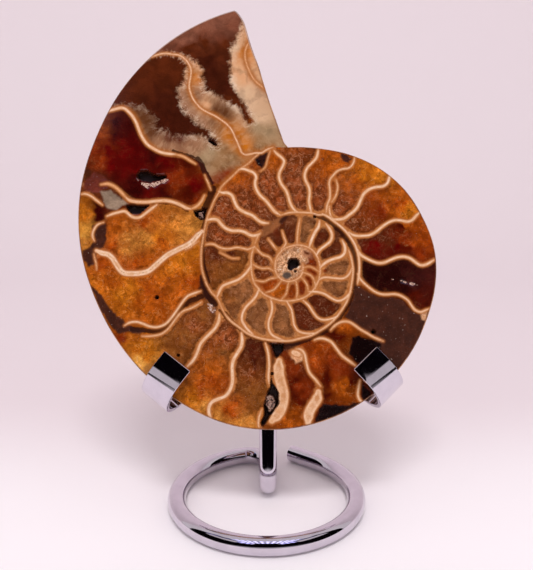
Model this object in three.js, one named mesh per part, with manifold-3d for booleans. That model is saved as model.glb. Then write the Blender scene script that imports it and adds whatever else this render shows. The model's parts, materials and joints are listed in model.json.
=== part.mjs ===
// A polished half of an ammonite fossil, sawn face forward, held by two hooked
// straps on a stem that rises from an open ring base. Millimetres, +Z up.
import * as THREE from 'three';
import { mergeVertices } from 'three/addons/utils/BufferGeometryUtils.js';
import Module from 'manifold-3d';

// Round bar of the ring base and stem
const BAR_RADIUS = 2.5;
const BAR_SIDES = 12;
const BAR_STEPS = 140;
const RING_RADIUS = 25;
const RING_DEPTH_SHARE = 1.05;
const RING_MIDDLE_Y = 0.5;
const RING_TAIL_DEG = 52;
const RING_TAIL_LENGTH = 10;
const INWARD_BEND_RADIUS = 6;
const STEM_X = 0.4;
const ELBOW_Y = 7.7;
const ELBOW_RADIUS = 5.5;
const STEM_PAST_STRAPS = 4;

// Sawn face: its foot above the floor and how far it leans back
const FACE_LEAN_DEG = 22;
const FACE_FOOT = new THREE.Vector3(0, -11.2, 27.1);

// Fossil outline on the face: radius from the spiral pole at equal steps of turn,
// from the notch clockwise round to the tip of the last chamber
const POLE = new THREE.Vector2(7.6, 43.9);
const NOTCH_DEG = 93;
const OUTLINE_TURN_DEG = 350;
const OUTLINE_RADII = [
  32.3, 32.6, 33.7, 35.0, 36.1, 36.8, 37.7, 37.9, 38.0, 38.7, 39.7, 41.0, 42.5,
  44.2, 45.9, 47.3, 49.0, 51.2, 54.0, 57.7, 61.4, 64.8, 68.8, 72.2, 74.1,
];

// Sawn end of the last chamber, from the notch out to the tip
const SAWN_EDGE = [
  [4.9, 77.2], [3.5, 81.2], [1, 88.6], [-1, 95.2], [-3.4, 102.8], [-5.4, 109.4], [-7.2, 114.1],
];

// Domed back of the half shell, as shares of the outline radius
const SHELL_DEPTH_SHARE = 0.212;
const SHOULDER_SHARE = 0.42;
const HOLLOW_SHARE = 0.1;
const POLE_DEPTH = 5.7;
const TURN_STEPS = 108;
const RADIAL_STEPS = 15;
const NOTCH_STEP = 6;

// Cavities in the face: corner points and depth
const CRYSTAL_CAVITY = [
  [-35.4, 68.5], [-34.4, 69.6], [-32.5, 69.7], [-30.8, 68.7], [-29, 68.3], [-27.3, 68.5],
  [-27, 67.6], [-28.9, 66.8], [-31.6, 66.2], [-33.8, 66.6], [-35.1, 67.3],
];
const LEFT_VOID = [
  [-37.9, 59.8], [-36.1, 60.2], [-31.8, 59.8], [-33, 58.4], [-34.1, 57.5], [-36.3, 57.4],
];
const RIGHT_VOID = [
  [-20.1, 58.2], [-18.2, 58.8], [-15.8, 59.4], [-16.2, 57.5], [-16.7, 56], [-17.9, 55.7],
];
const FISSURE = [
  [1.4, 14.9], [2, 11.8], [3.2, 9.7], [3.2, 6.8], [2, 4.7], [0.2, 2.7],
  [-0.6, 2.7], [-0.7, 6.4], [0.1, 9.5], [0.9, 11.8],
];
const SMALL_PIT = [
  [1.1, 22.2], [4.9, 22.2], [4.4, 20.2], [2.7, 18.3],
];
const CENTRE_PIT = new THREE.Vector2(7.1, 43.1);
const CENTRE_PIT_RADIUS = 1.8;
const CENTRE_PIT_SIDES = 16;
const CAVITY_DEPTH = 2.6;

// Hook straps: flat strip, lip end on the face and the way each strap runs down the face
const STRAP_WIDTH = 8.8;
const STRAP_THICKNESS = 1.1;
const LIP_FRONT = 3.2;
const HOOK_REACH = 12.2;
const HOOK_RADIUS = 7.4;
const STRAP_SLOPE_DEG = 5;
const STRAP_RUN = 48;
const STRAP_TURN_DEG = 9.5;
const LEFT_LIP_END = new THREE.Vector2(-22.9, 17.5);
const LEFT_STRAP_WAY = new THREE.Vector2(-0.612, -0.791);
const RIGHT_LIP_END = new THREE.Vector2(25.4, 18.3);
const RIGHT_STRAP_WAY = new THREE.Vector2(0.692, -0.722);
const STRAP_APEX_V = 41.2;
const GAP = 0.3;
const TRIM_SIZE = 60;

const fossilStone = new THREE.MeshStandardMaterial({
  color: 0x8c4a1e,
  roughness: 0.25,
  metalness: 0,
});
const chrome = new THREE.MeshStandardMaterial({
  color: 0xdcd8df,
  roughness: 0.05,
  metalness: 1,
});

const wasm = await Module();
wasm.setup();

// A closed geometry as a solid for joining and cutting
function toSolid(geometry) {
  const bare = geometry.clone();
  bare.deleteAttribute('normal');
  bare.deleteAttribute('uv');
  const merged = mergeVertices(bare, 1e-4);
  return new wasm.Manifold(
    new wasm.Mesh({
      numProp: 3,
      vertProperties: new Float32Array(merged.attributes.position.array),
      triVerts: new Uint32Array(merged.index.array),
    }),
  );
}

function toGeometry(solid) {
  const mesh = solid.getMesh();
  const geometry = new THREE.BufferGeometry();
  geometry.setAttribute('position', new THREE.BufferAttribute(mesh.vertProperties, 3));
  geometry.setIndex(new THREE.BufferAttribute(mesh.triVerts, 1));
  return geometry;
}

// An arc in space about a centre, from one radius vector towards another at right angles to it
class Arc3 extends THREE.Curve {
  constructor(centre, toStart, toQuarter, sweep) {
    super();
    this.centre = centre;
    this.toStart = toStart;
    this.toQuarter = toQuarter;
    this.sweep = sweep;
  }

  getPoint(t, target = new THREE.Vector3()) {
    const angle = t * this.sweep;
    target.copy(this.centre);
    target.addScaledVector(this.toStart, Math.cos(angle));
    target.addScaledVector(this.toQuarter, Math.sin(angle));
    return target;
  }
}

// Fossil half: outline radius at a turn, and depth of the domed back
const outlineSpline = new THREE.SplineCurve(
  OUTLINE_RADII.map((radius, i) => new THREE.Vector2(i, radius)),
);

function outlineRadius(share) {
  return outlineSpline.getPoint(share).y;
}

function shellDepth(radius, rimRadius) {
  const t = radius / rimRadius;
  const full = SHELL_DEPTH_SHARE * rimRadius;
  if (t >= SHOULDER_SHARE) {
    const x = Math.min(1, (t - SHOULDER_SHARE) / (1 - SHOULDER_SHARE));
    return full * Math.sqrt(1 - x * x);
  }
  const rise = THREE.MathUtils.smoothstep(t, HOLLOW_SHARE, SHOULDER_SHARE);
  return POLE_DEPTH + (full - POLE_DEPTH) * rise;
}

function onFace(turnShare, radius) {
  const turn = turnShare * OUTLINE_TURN_DEG;
  const angle = THREE.MathUtils.degToRad(NOTCH_DEG - turn);
  return new THREE.Vector2(
    POLE.x + radius * Math.cos(angle),
    POLE.y + radius * Math.sin(angle),
  );
}

function fossilGeometry() {
  const positions = [];
  const index = [];
  const addPoint = (p, depth) => positions.push(p.x, p.y, -depth) / 3 - 1;
  const poleBack = addPoint(POLE, POLE_DEPTH);
  const poleFront = addPoint(POLE, 0);
  const notch = onFace(0, outlineRadius(0));
  const tip = onFace(1, outlineRadius(1));
  const corners = SAWN_EDGE.map(([x, y]) => new THREE.Vector2(x, y));
  const sawnEdge = new THREE.SplineCurve([notch, ...corners, tip]);

  // Lines from the pole to the rim over the back, the last one bent along the sawn end
  const lines = [];
  const sawnMiddle = [];
  for (let i = 0; i <= TURN_STEPS; i += 1) {
    const share = i / TURN_STEPS;
    const rimRadius = outlineRadius(share);
    const line = [poleBack];
    for (let j = 1; j <= RADIAL_STEPS; j += 1) {
      const t = Math.sin((j / RADIAL_STEPS) * (Math.PI / 2));
      let point = onFace(share, t * rimRadius);
      if (i === TURN_STEPS && j <= NOTCH_STEP) {
        point = POLE.clone().lerp(notch, j / NOTCH_STEP);
      } else if (i === TURN_STEPS) {
        point = sawnEdge.getPoint((j - NOTCH_STEP) / (RADIAL_STEPS - NOTCH_STEP));
      }
      if (i === TURN_STEPS && j > NOTCH_STEP && j < RADIAL_STEPS) {
        sawnMiddle.push(addPoint(point, 0));
      }
      const depth = j === RADIAL_STEPS ? 0 : shellDepth(point.distanceTo(POLE), rimRadius);
      line.push(addPoint(point, depth));
    }
    lines.push(line);
  }

  // Domed back and flat face
  for (let i = 0; i < TURN_STEPS; i += 1) {
    const a = lines[i];
    const b = lines[i + 1];
    index.push(poleBack, a[1], b[1]);
    for (let j = 1; j < RADIAL_STEPS; j += 1) {
      index.push(a[j], a[j + 1], b[j + 1]);
      index.push(a[j], b[j + 1], b[j]);
    }
    index.push(poleFront, b[RADIAL_STEPS], a[RADIAL_STEPS]);
  }
  const first = lines[0];
  const last = lines[TURN_STEPS];
  const sawnFront = [first[RADIAL_STEPS], ...sawnMiddle, last[RADIAL_STEPS]];
  for (let j = 0; j + 1 < sawnFront.length; j += 1) {
    index.push(poleFront, sawnFront[j], sawnFront[j + 1]);
  }

  // Step on the back where the last half whorl ends over the whorl before it
  let k = 1;
  index.push(poleBack, last[1], first[1]);
  for (let j = 1; j < NOTCH_STEP; j += 1) {
    const reach = Math.round(((j + 1) / NOTCH_STEP) * RADIAL_STEPS);
    index.push(last[j], last[j + 1], first[k]);
    for (; k < reach; k += 1) {
      index.push(first[k + 1], first[k], last[j + 1]);
    }
  }

  // Sawn end from the notch to the tip
  for (let j = NOTCH_STEP; j < RADIAL_STEPS; j += 1) {
    const front = j - NOTCH_STEP;
    index.push(sawnFront[front], last[j], last[j + 1]);
    if (j + 1 < RADIAL_STEPS) {
      index.push(sawnFront[front], last[j + 1], sawnFront[front + 1]);
    }
  }
  const geometry = new THREE.BufferGeometry();
  geometry.setAttribute('position', new THREE.Float32BufferAttribute(positions, 3));
  geometry.setIndex(index);
  return geometry;
}

function cavitySolid(corners) {
  const outline = new THREE.Shape(corners.map(([x, y]) => new THREE.Vector2(x, y)));
  const block = new THREE.ExtrudeGeometry(outline, { depth: 2 * CAVITY_DEPTH, bevelEnabled: false });
  block.translate(0, 0, -CAVITY_DEPTH);
  return toSolid(block);
}

function centrePitSolid() {
  const pit = new THREE.CylinderGeometry(
    CENTRE_PIT_RADIUS,
    CENTRE_PIT_RADIUS,
    2 * CAVITY_DEPTH,
    CENTRE_PIT_SIDES,
  );
  pit.rotateX(Math.PI / 2);
  pit.translate(CENTRE_PIT.x, CENTRE_PIT.y, 0);
  return toSolid(pit);
}

let fossilSolid = toSolid(fossilGeometry());
for (const corners of [CRYSTAL_CAVITY, LEFT_VOID, RIGHT_VOID, FISSURE, SMALL_PIT]) {
  fossilSolid = fossilSolid.subtract(cavitySolid(corners));
}
fossilSolid = fossilSolid.subtract(centrePitSolid());
const fossil = new THREE.Mesh(toGeometry(fossilSolid), fossilStone);
fossil.name = 'ammonite_half';

// Hook strap: the strip seen edge on, from its lip end round the hook and up behind the fossil
const slope = THREE.MathUtils.degToRad(STRAP_SLOPE_DEG);
const hookStart = HOOK_REACH - STRAP_THICKNESS / 2 - HOOK_RADIUS;
const hookCentreZ = -HOOK_RADIUS;

function strapGeometry(lipEnd, way, side) {
  const half = STRAP_THICKNESS / 2;
  const outer = HOOK_RADIUS + half;
  const inner = HOOK_RADIUS - half;
  const runX = -Math.cos(slope) * STRAP_RUN;
  const runZ = -Math.sin(slope) * STRAP_RUN;
  const turnEnd = -Math.PI / 2 + slope;
  const outline = new THREE.Shape();
  outline.moveTo(0, -half);
  outline.lineTo(hookStart, -half);
  outline.absarc(hookStart, hookCentreZ, inner, Math.PI / 2, turnEnd, true);
  outline.lineTo(
    hookStart + inner * Math.sin(slope) + runX,
    hookCentreZ - inner * Math.cos(slope) + runZ,
  );
  outline.lineTo(
    hookStart + outer * Math.sin(slope) + runX,
    hookCentreZ - outer * Math.cos(slope) + runZ,
  );
  outline.lineTo(
    hookStart + outer * Math.sin(slope),
    hookCentreZ - outer * Math.cos(slope),
  );
  outline.absarc(hookStart, hookCentreZ, outer, turnEnd, Math.PI / 2, false);
  outline.lineTo(0, half);
  const strip = new THREE.ExtrudeGeometry(outline, {
    depth: STRAP_WIDTH,
    bevelEnabled: false,
    curveSegments: 18,
  });
  strip.translate(0, 0, -STRAP_WIDTH / 2);

  // The strip is turned about its length: its back lies nearer the middle than its lip
  const down = new THREE.Vector3(way.x, way.y, 0).normalize();
  const out = new THREE.Vector3(0, 0, 1);
  out.applyAxisAngle(down, -side * THREE.MathUtils.degToRad(STRAP_TURN_DEG));
  const across = new THREE.Vector3().crossVectors(down, out);
  strip.applyMatrix4(new THREE.Matrix4().makeBasis(down, out, across));
  strip.translate(lipEnd.x, lipEnd.y, LIP_FRONT);
  return strip;
}

// Each strap stops at the stem's middle plane, where the two meet in a mitre
function trimmedStrap(strip, side) {
  const block = new THREE.BoxGeometry(TRIM_SIZE, 2 * TRIM_SIZE, 2 * TRIM_SIZE);
  block.translate(STEM_X - side * (TRIM_SIZE / 2 - GAP / 2), STRAP_APEX_V, 0);
  return toGeometry(toSolid(strip).subtract(toSolid(block)));
}

const leftStrap = new THREE.Mesh(
  trimmedStrap(strapGeometry(LEFT_LIP_END, LEFT_STRAP_WAY, -1), -1),
  chrome,
);
leftStrap.name = 'left_hook_strap';
const rightStrap = new THREE.Mesh(
  trimmedStrap(strapGeometry(RIGHT_LIP_END, RIGHT_STRAP_WAY, 1), 1),
  chrome,
);
rightStrap.name = 'right_hook_strap';

const leaning = new THREE.Group();
leaning.position.copy(FACE_FOOT);
leaning.rotation.x = THREE.MathUtils.degToRad(90 - FACE_LEAN_DEG);
leaning.add(fossil, leftStrap, rightStrap);
leaning.updateMatrixWorld(true);

// Stem: from the elbow the bar leans back as the face does, up behind the straps
const lean = THREE.MathUtils.degToRad(FACE_LEAN_DEG);
const elbowCentre = new THREE.Vector3(STEM_X, ELBOW_Y, BAR_RADIUS + ELBOW_RADIUS);
const stemFoot = new THREE.Vector3(
  STEM_X,
  ELBOW_Y - ELBOW_RADIUS * Math.cos(lean),
  elbowCentre.z + ELBOW_RADIUS * Math.sin(lean),
);
const stemDepth = leaning.worldToLocal(stemFoot.clone()).z;
const stemTop = leaning.localToWorld(
  new THREE.Vector3(STEM_X, STRAP_APEX_V + STEM_PAST_STRAPS, stemDepth),
);

// Bar path: straight tail, round the ring, in to the middle, and up the leaning stem
function barPath() {
  const ringStart = THREE.MathUtils.degToRad(RING_TAIL_DEG);
  const inwardX = STEM_X - INWARD_BEND_RADIUS;
  const inwardY = Math.sqrt((RING_RADIUS - INWARD_BEND_RADIUS) ** 2 - inwardX ** 2);
  const inwardStart = Math.atan2(inwardY, inwardX);
  const ringSweep = ringStart + 2 * Math.PI - inwardStart;
  const flatArc = (x, y, radius, start, sweep) => new Arc3(
    new THREE.Vector3(x, RING_MIDDLE_Y + RING_DEPTH_SHARE * y, BAR_RADIUS),
    new THREE.Vector3(Math.cos(start), RING_DEPTH_SHARE * Math.sin(start), 0).multiplyScalar(radius),
    new THREE.Vector3(Math.sin(start), -RING_DEPTH_SHARE * Math.cos(start), 0).multiplyScalar(radius),
    sweep,
  );
  const ring = flatArc(0, 0, RING_RADIUS, ringStart, ringSweep);
  const inwardBend = flatArc(inwardX, inwardY, INWARD_BEND_RADIUS, inwardStart, inwardStart);
  const tailStart = ring.getPoint(0);
  const tailEnd = tailStart.clone().addScaledVector(ring.getTangent(0), -RING_TAIL_LENGTH);
  const path = new THREE.CurvePath();
  path.add(new THREE.LineCurve3(tailEnd, tailStart));
  path.add(ring);
  path.add(inwardBend);
  path.add(new THREE.LineCurve3(
    inwardBend.getPoint(1),
    new THREE.Vector3(STEM_X, ELBOW_Y, BAR_RADIUS),
  ));
  path.add(new Arc3(
    elbowCentre,
    new THREE.Vector3(0, 0, -ELBOW_RADIUS),
    new THREE.Vector3(0, -ELBOW_RADIUS, 0),
    Math.PI / 2 + lean,
  ));
  path.add(new THREE.LineCurve3(stemFoot, stemTop));
  return path;
}

// Many-sided bar section with one flat facing down all round the ring
const barCorner = BAR_RADIUS / Math.cos(Math.PI / BAR_SIDES);
const barSection = new THREE.Shape();
for (let i = 0; i < BAR_SIDES; i += 1) {
  const angle = ((i + 0.5) / BAR_SIDES) * 2 * Math.PI;
  const corner = [barCorner * Math.cos(angle), barCorner * Math.sin(angle)];
  if (i === 0) {
    barSection.moveTo(...corner);
  } else {
    barSection.lineTo(...corner);
  }
}
const bar = new THREE.Mesh(
  new THREE.ExtrudeGeometry(barSection, {
    steps: BAR_STEPS,
    bevelEnabled: false,
    extrudePath: barPath(),
  }),
  chrome,
);
bar.name = 'stand_rod';

// The whole stands on the floor with its box centred over the origin
const ammoniteOnStand = new THREE.Group();
const placed = new THREE.Group();
placed.add(bar, leaning);
const box = new THREE.Box3().setFromObject(placed, true);
const middle = box.getCenter(new THREE.Vector3());
placed.position.set(-middle.x, -middle.y, -box.min.z);
ammoniteOnStand.add(placed);

export default ammoniteOnStand;
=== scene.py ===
import json
import math

import bpy
import numpy as np
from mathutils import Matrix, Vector
from mathutils.geometry import delaunay_2d_cdt

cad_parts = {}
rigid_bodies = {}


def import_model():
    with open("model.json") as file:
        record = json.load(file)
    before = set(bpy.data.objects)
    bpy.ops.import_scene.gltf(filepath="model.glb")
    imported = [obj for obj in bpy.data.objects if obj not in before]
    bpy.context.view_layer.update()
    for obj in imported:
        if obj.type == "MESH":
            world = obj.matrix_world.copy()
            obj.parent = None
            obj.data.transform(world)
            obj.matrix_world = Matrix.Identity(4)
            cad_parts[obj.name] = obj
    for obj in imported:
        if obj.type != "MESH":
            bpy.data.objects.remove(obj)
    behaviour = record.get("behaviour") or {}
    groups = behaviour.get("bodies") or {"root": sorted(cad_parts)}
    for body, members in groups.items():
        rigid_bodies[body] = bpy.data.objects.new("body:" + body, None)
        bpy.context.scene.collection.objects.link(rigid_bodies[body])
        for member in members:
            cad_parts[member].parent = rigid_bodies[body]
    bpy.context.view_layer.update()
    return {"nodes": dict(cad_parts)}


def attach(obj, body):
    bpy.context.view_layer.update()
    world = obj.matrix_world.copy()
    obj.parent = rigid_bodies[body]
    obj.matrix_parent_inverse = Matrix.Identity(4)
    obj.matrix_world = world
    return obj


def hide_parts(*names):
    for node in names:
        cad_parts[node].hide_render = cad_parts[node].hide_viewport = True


for left_over in list(bpy.data.objects):
    bpy.data.objects.remove(left_over)
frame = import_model()

# Sizes, in millimetres
MM = 0.001
RING_CENTRE = (2.696, -4.976)
FACE_FOOT = (0.0, -11.2, 27.1)
FACE_LEAN = math.radians(22)
POLE = np.array((7.6, 43.9))
NOTCH_DEG = 93.0
OUTLINE_TURN_DEG = 350.0
OUTLINE_RADII = [
    32.3, 32.6, 33.7, 35.0, 36.1, 36.8, 37.7, 37.9, 38.0, 38.7, 39.7, 41.0, 42.5,
    44.2, 45.9, 47.3, 49.0, 51.2, 54.0, 57.7, 61.4, 64.8, 68.8, 72.2, 74.1,
]
SHELL_DEPTH_SHARE = 0.212
SHOULDER_SHARE = 0.42
HOLLOW_SHARE = 0.1
POLE_DEPTH = 5.7
# Sawn end of the last chamber, from the tip down to the notch
CUT_EDGE = [
    (-8.3, 115.6), (-7.2, 114.1), (-6.2, 112.2), (-5.4, 109.4), (-4.5, 106.2), (-3.4, 102.8),
    (-2.2, 99.5), (-1.0, 95.3), (0.0, 91.9), (1.0, 88.6), (2.4, 84.5), (3.5, 81.2), (4.5, 78.3), (4.9, 77.3),
]

# Camera: place from the ring's centre in mm, tilt, lens and image in pixels
CAMERA_PLACE = np.array((0.0, -204.1, 111.0))
CAMERA_DOWN = math.radians(13.24)
FOCAL_PIXELS = 800.0
IMAGE_SIZE = (533, 570)

# Marks on the sawn face: places listed across and up the face in mm
# Chamber walls: half width, tone from cream (0) to orange (1), places along the wall
SEPTA = [
    (0.19, 0.55, "-4.7 106.8, -5.6 105, -6 103.3, -5.8 101.1, -5 98.6, -3.8 96.1, -2.6 94.6, -1.4 93.6, "
     "-0.3 92.6"),
    (0.23, 0.15, "-32 102.1, -29.9 102.9, -28.1 103.2, -26.1 102.9, -24.5 102.7, -23.1 101.9, "
     "-21.9 100.6, -21.1 99, -20.9 97.4, -21.2 95.3, -21.4 93.6, -21 91.7, -20.2 89.8, -19.2 88.4, "
     "-18 87.1, -16 85.9, -14.2 85, -12.4 83.8, -10.8 82.5, -9.6 81, -8.8 79.3, -8 77.5, -7.2 75.5, "
     "-6.7 74.4, -5.7 73.9, -4.3 74.1, -2.9 74.4, -1.4 74.4, -0.6 74.9, 0.4 75.5, 1.8 76"),
    (0.39, 0.3, "-43.7 86.2, -42.5 86.7, -41.4 87, -40.1 87.3, -38.9 87, -37.7 85.9, -36.7 84.7, "
     "-35.7 82.9, -34.9 80.8, -33.9 78.7, -32.5 76.8, -30.6 75.5, -28.8 74.6, -26.9 74.2, -24.8 74"),
    (0.28, 0.8, "-24.8 74, -22.7 73.4, -20.9 72.3, -19.3 71.3"),
    (0.19, 0.35, "-16.8 68.2, -16.2 66.8, -15.6 65.4, -15.1 64"),
    (0.41, 0.45, "-38 61.9, -37 61.1, -35.2 60.7, -32.6 60.6, -29.8 60.9, -27.2 61, -24.9 60.5, "
     "-23 59.7, -21.7 59, -20.4 58.7"),
    (0.34, 0.85, "-44.9 65.5, -42.9 65.7, -41 64.8, -39.4 63.4, -38 61.9"),
    (0.3, 0.7, "-20.4 58.7, -18.9 59.4, -17.6 60.8, -16.8 62.5"),
    (0.35, 0.3, "-43 56.7, -41.3 57.4, -39.8 57.8, -38.5 58.1, -37.6 57.7, -36.8 56.9, -35.6 56.3, "
     "-34.1 56.4, -32.6 57.5, -31 58.8, -29.6 59.9"),
    (0.28, 0.35, "-50.6 62.7, -49 62.9, -47.4 62.2, -46.1 61.2, -44.3 59.8"),
    (0.26, 0.3, "-43.9 55, -45.3 54.5, -46.2 53.4, -46.7 52.1, -46.7 51.1, -46.2 49.9"),
    (0.71, 0.25, "-45.6 47.3, -44 46.6, -42.4 46.2, -41.2 45.2, -40.2 43.7, -39.2 42.2, -38 41.2, "
     "-36.1 41, -33.6 41.1, -31.5 41.7, -29.8 43.1, -28.1 44.7, -26.4 46.1, -24.6 47.1, -22.9 48, "
     "-21.2 48.8, -19.7 50, -18.5 51.4, -17.3 52.6"),
    (0.18, 0.4, "-21.8 47.4, -20.4 48.2, -19.2 49.2, -18.2 49.8"),
    (0.18, 0.5, "-46.2 46.3, -45.9 45, -45.5 43.7, -45.3 42"),
    (0.3, 0.3, "-37.5 27.1, -36.1 27.9, -34.4 28.1, -32.6 27.6, -30.9 26.9, -28.8 26.7, -26.7 27.5, "
     "-25.2 29.1, -23.7 31.2, -22.3 33.3, -21 34.9, -19.3 35.7, -17.5 36.3"),
    (0.23, 0.4, "-32.8 24.3, -31.5 24.3, -29.8 24.4, -27.7 24.9, -26 26.2, -24.7 27.9, -23.3 29.8, "
     "-22 31, -20.3 31.6, -18.5 32.5, -17.2 33.4"),
    (0.39, 0.35, "-12.5 30.3, -12.6 28.4, -13.5 26.5, -15 24.9, -16.3 23.6, -17.4 22.2, -18 20.5, "
     "-18.7 18.8, -19.5 17.6, -20.7 16.4"),
    (0.44, 0.3, "-6.6 25.1, -6.4 23.2, -6.7 21.5, -7.7 19.8, -8.6 18.2, -9 16.4, -8.9 14.3, -8.9 12.3, "
     "-9.5 10.3, -10.7 8.7, -12.6 7.9, -14.1 7.2, -14.9 5.9, -14.9 4.2, -14.3 2.5"),
    (0.3, 0.35, "-0.3 22.5, 0.3 20.6, 0.6 18.6, 0.7 16.2, 0.5 13.8, 0.7 11.9"),
    (0.26, 0.4, "-1.2 5.2, -1.9 3.4, -2.1 1.4, -1.8 -0"),
    (1.37, 0.5, "3.3 17.8, 3.2 15.9, 3.3 13.9, 3.9 11.4, 4.4 9.1, 4.1 6.4, 3.1 4.2, 1.4 2.4"),
    (1.09, 0.5, "7.1 20, 8.4 19.5"),
    (0.3, 0.35, "7.8 21, 9 20.8, 10 19.6, 10.5 17.2, 11.2 14.8, 12.9 12.8, 14.1 11.2"),
    (1.28, 0.42, "13.5 9.7, 13.1 7.8, 12 6.2, 11 4.2, 10.8 1.8"),
    (0.32, 0.35, "12.6 23.3, 13.8 23.7, 15.3 23.6, 17.1 22.7, 18.4 21, 19.8 19.2, 21.5 17.9, 23.3 16.6"),
    (0.28, 0.5, "16.9 25.9, 17.8 26.9, 19.1 27.8, 20.5 28.2, 22 28, 23.4 27.1, 24.9 26, 26.5 25.1, "
     "28.3 24, 30.7 23"),
    (0.32, 0.4, "24.4 12.7, 24 10.8, 23.8 8.9, 24.4 7.5, 25.6 6.9"),
    (0.28, 0.3, "24.3 40.9, 24.8 39.8, 25.5 38.9, 27.1 37.4, 28.7 36.2, 30.4 35.5, 32.1 35.4, 34.1 35.5, "
     "35.8 35, 37.5 33.8, 38.4 32.4, 39.4 31.2, 40.8 30.7, 41.9 31.1, 43.4 31.7"),
    (0.35, 0.3, "24.4 47.6, 25.1 46.2, 26.6 45.2, 28.2 44.4, 29.8 43.9, 31.4 44, 33.1 44.7, 34.9 45.4, "
     "36.8 45.6, 38.5 45.1, 39.8 44.1, 41.1 43.3, 42.7 43.5, 44.9 44.8"),
    (0.35, 0.3, "22.2 52.3, 23.1 51.6, 24.3 51.3, 25.9 51.3, 27.7 51.5, 29.4 52.4, 31.1 53.8, 32.9 55, "
     "34.6 55.6, 36.3 55.5, 38 55.2, 39.3 55.7, 40.4 56.9, 41.4 57.9"),
    (0.39, 0.3, "17.9 55.9, 19.4 55.8, 20.9 56.1, 22.3 57.1, 23.7 58.2, 24.7 59.5, 25.5 61.3, 26.4 63, "
     "27.9 64.2, 29.7 64.8, 31.5 65, 32.8 65.9, 33.3 67.3, 33.8 68.6"),
    (0.25, 0.3, "16.1 57.6, 16.4 59.8, 17.1 61.6, 17.2 63.8, 17 65.7, 17.3 67, 18.3 68.3, 19.3 69.3, "
     "20.8 69.9, 22.3 70.1, 23.4 71.1, 23.9 72.4, 24 73.5"),
    (0.21, 0.35, "18.9 66.8, 19.3 65, 19 63.1, 18.4 61.7, 17.6 60.6"),
    (0.25, 0.3, "17 59.5, 17 58.1, 17.3 56.8, 17.9 56"),
    (0.34, 0.3, "14.2 75.7, 13.7 73.2, 12.4 71.6, 11.1 70.2, 10.4 68.3, 10.6 66.7, 11.5 64.8, 11.7 63, "
     "11.5 60.9, 11.8 59, 12.1 57.7"),
    (0.35, 0.35, "2 75.1, 2.9 74.1, 4 73.2, 4.8 72.1, 4.4 70.7, 3.6 69.1, 3.4 67.5, 4 65.7, 5.2 64, "
     "5.9 62.2, 6.3 60.6, 7.2 58.8, 8.4 57.8"),
    (0.37, 0.3, "-7.6 69.7, -6.3 69.9, -4.8 69.4, -3.5 68.8, -2.8 67.6, -3.1 66.2, -2.9 64.6, -1.9 62.7, "
     "-0.2 61, 1 59.5, 2.2 58, 3.7 57"),
    (0.39, 0.3, "-12.9 63.6, -11.9 63.2, -10.6 63.2, -9.3 62.4, -8.7 60.9, -7.7 59, -5.9 57.8, "
     "-3.8 56.9, -2.3 55.6, -1 54.9, 0.5 54.8"),
    (0.39, 0.3, "-16.2 55.6, -14.6 55.9, -13.2 55.7, -12.3 54.6, -11 53.4, -9.2 52.7, -7.4 52.7, "
     "-5.8 52.3, -4.6 51.6, -3.3 51.3, -1.7 51.9"),
    (0.23, 0.35, "-16.2 48.9, -15 49.1, -13.9 48.9, -12.5 48.1, -10.4 47.7, -8.1 48.1, -6.4 47.9, "
     "-4.9 47.6, -3.3 48.4"),
    (0.14, 0.55, "-12.5 46.7, -11 46, -9.3 45.2, -7.4 45.2"),
    (0.35, 0.35, "-4.3 43.1, -4.9 41.9, -5.9 40.7, -7.5 39.4, -9.8 38.5, -11.6 37.7, -12.4 36.5, "
     "-13.1 34.7"),
    (0.34, 0.35, "-2 37, -2.6 35.3, -3.7 33.8, -5.4 32.1, -6.3 30.4, -6.5 28.6, -5.8 27.2, -4.7 25.8, "
     "-3.6 24.9"),
    (0.3, 0.3, "1.1 34.3, 1.5 32.1, 1.3 30.4, 0.6 28.3, 0.6 26.3, 1.4 24.7, 3 23.8, 4.3 23.3"),
    (0.26, 0.3, "5.4 33.5, 6.6 31.3, 7 29.2, 7.3 27.3, 8.3 25.7, 10 25.1, 11.6 25, 13 25.2"),
    (0.28, 0.3, "9.7 33.8, 11.2 32.4, 12.3 30.7, 13.5 29.2, 15.1 28.6, 17 28.9, 18.6 29.5, 19.6 30.7"),
    (0.3, 0.3, "11.4 36.1, 13.4 36.1, 15.5 35.5, 17.2 34.4, 19 33.7, 20.7 34.3, 22.4 36.1"),
    (0.28, 0.3, "13.7 39, 14.5 39.7, 15.8 40, 18.2 39.8, 20.3 39.7, 21.8 40.6, 22.8 42.5"),
    (0.39, 0.25, "14.4 42.7, 15.4 43.7, 16.7 44.5, 18.3 45.1, 19.9 45.6, 20.9 46.7, 21 48.4, 20.3 50"),
    (0.35, 0.28, "13.3 45.9, 14.2 47.4, 15.7 48.6, 17.1 49.8, 17.6 51.5, 17 53.2, 16 54.6"),
    (0.39, 0.15, "11.5 48.4, 12.2 50.5, 13.1 52.4, 14 53.8, 14.3 55.4"),
    (0.21, 0.35, "8.2 49, 8.3 51.5, 8.6 53.9, 9 56.1"),
    (0.21, 0.35, "3.9 47.6, 5.2 49.2, 4.7 50.9, 4.2 52.7"),
    (0.25, 0.35, "2.7 47.5, 1.5 49.1, 0.5 50.4"),
    (0.21, 0.35, "-3.3 48.5, -2 47, -0.9 46.1, 0.7 45.5, 1.6 44"),
    (0.18, 0.35, "-3.9 43.7, -2.6 42.9, -1.1 42.4, 0.5 42.5, 1.9 41.7"),
    (0.18, 0.35, "-3.2 39.2, -2 39, -0.6 38.9, 1 39.6, 3.2 40"),
    (0.18, 0.35, "-0.2 35.9, 1.8 36.6, 2.8 37.6, 3.9 39"),
    (0.18, 0.35, "4 34.1, 5.2 35.6, 5.6 37.3, 5.9 38.9"),
    (0.18, 0.35, "7.9 34.2, 8.2 36.2, 8 38.2, 7.7 39.4"),
    (0.18, 0.35, "11.1 36.1, 10.7 38.2, 9.3 40"),
    (0.18, 0.35, "13 37, 12.8 38.8, 11.8 40.5, 9.6 41.4"),
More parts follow.
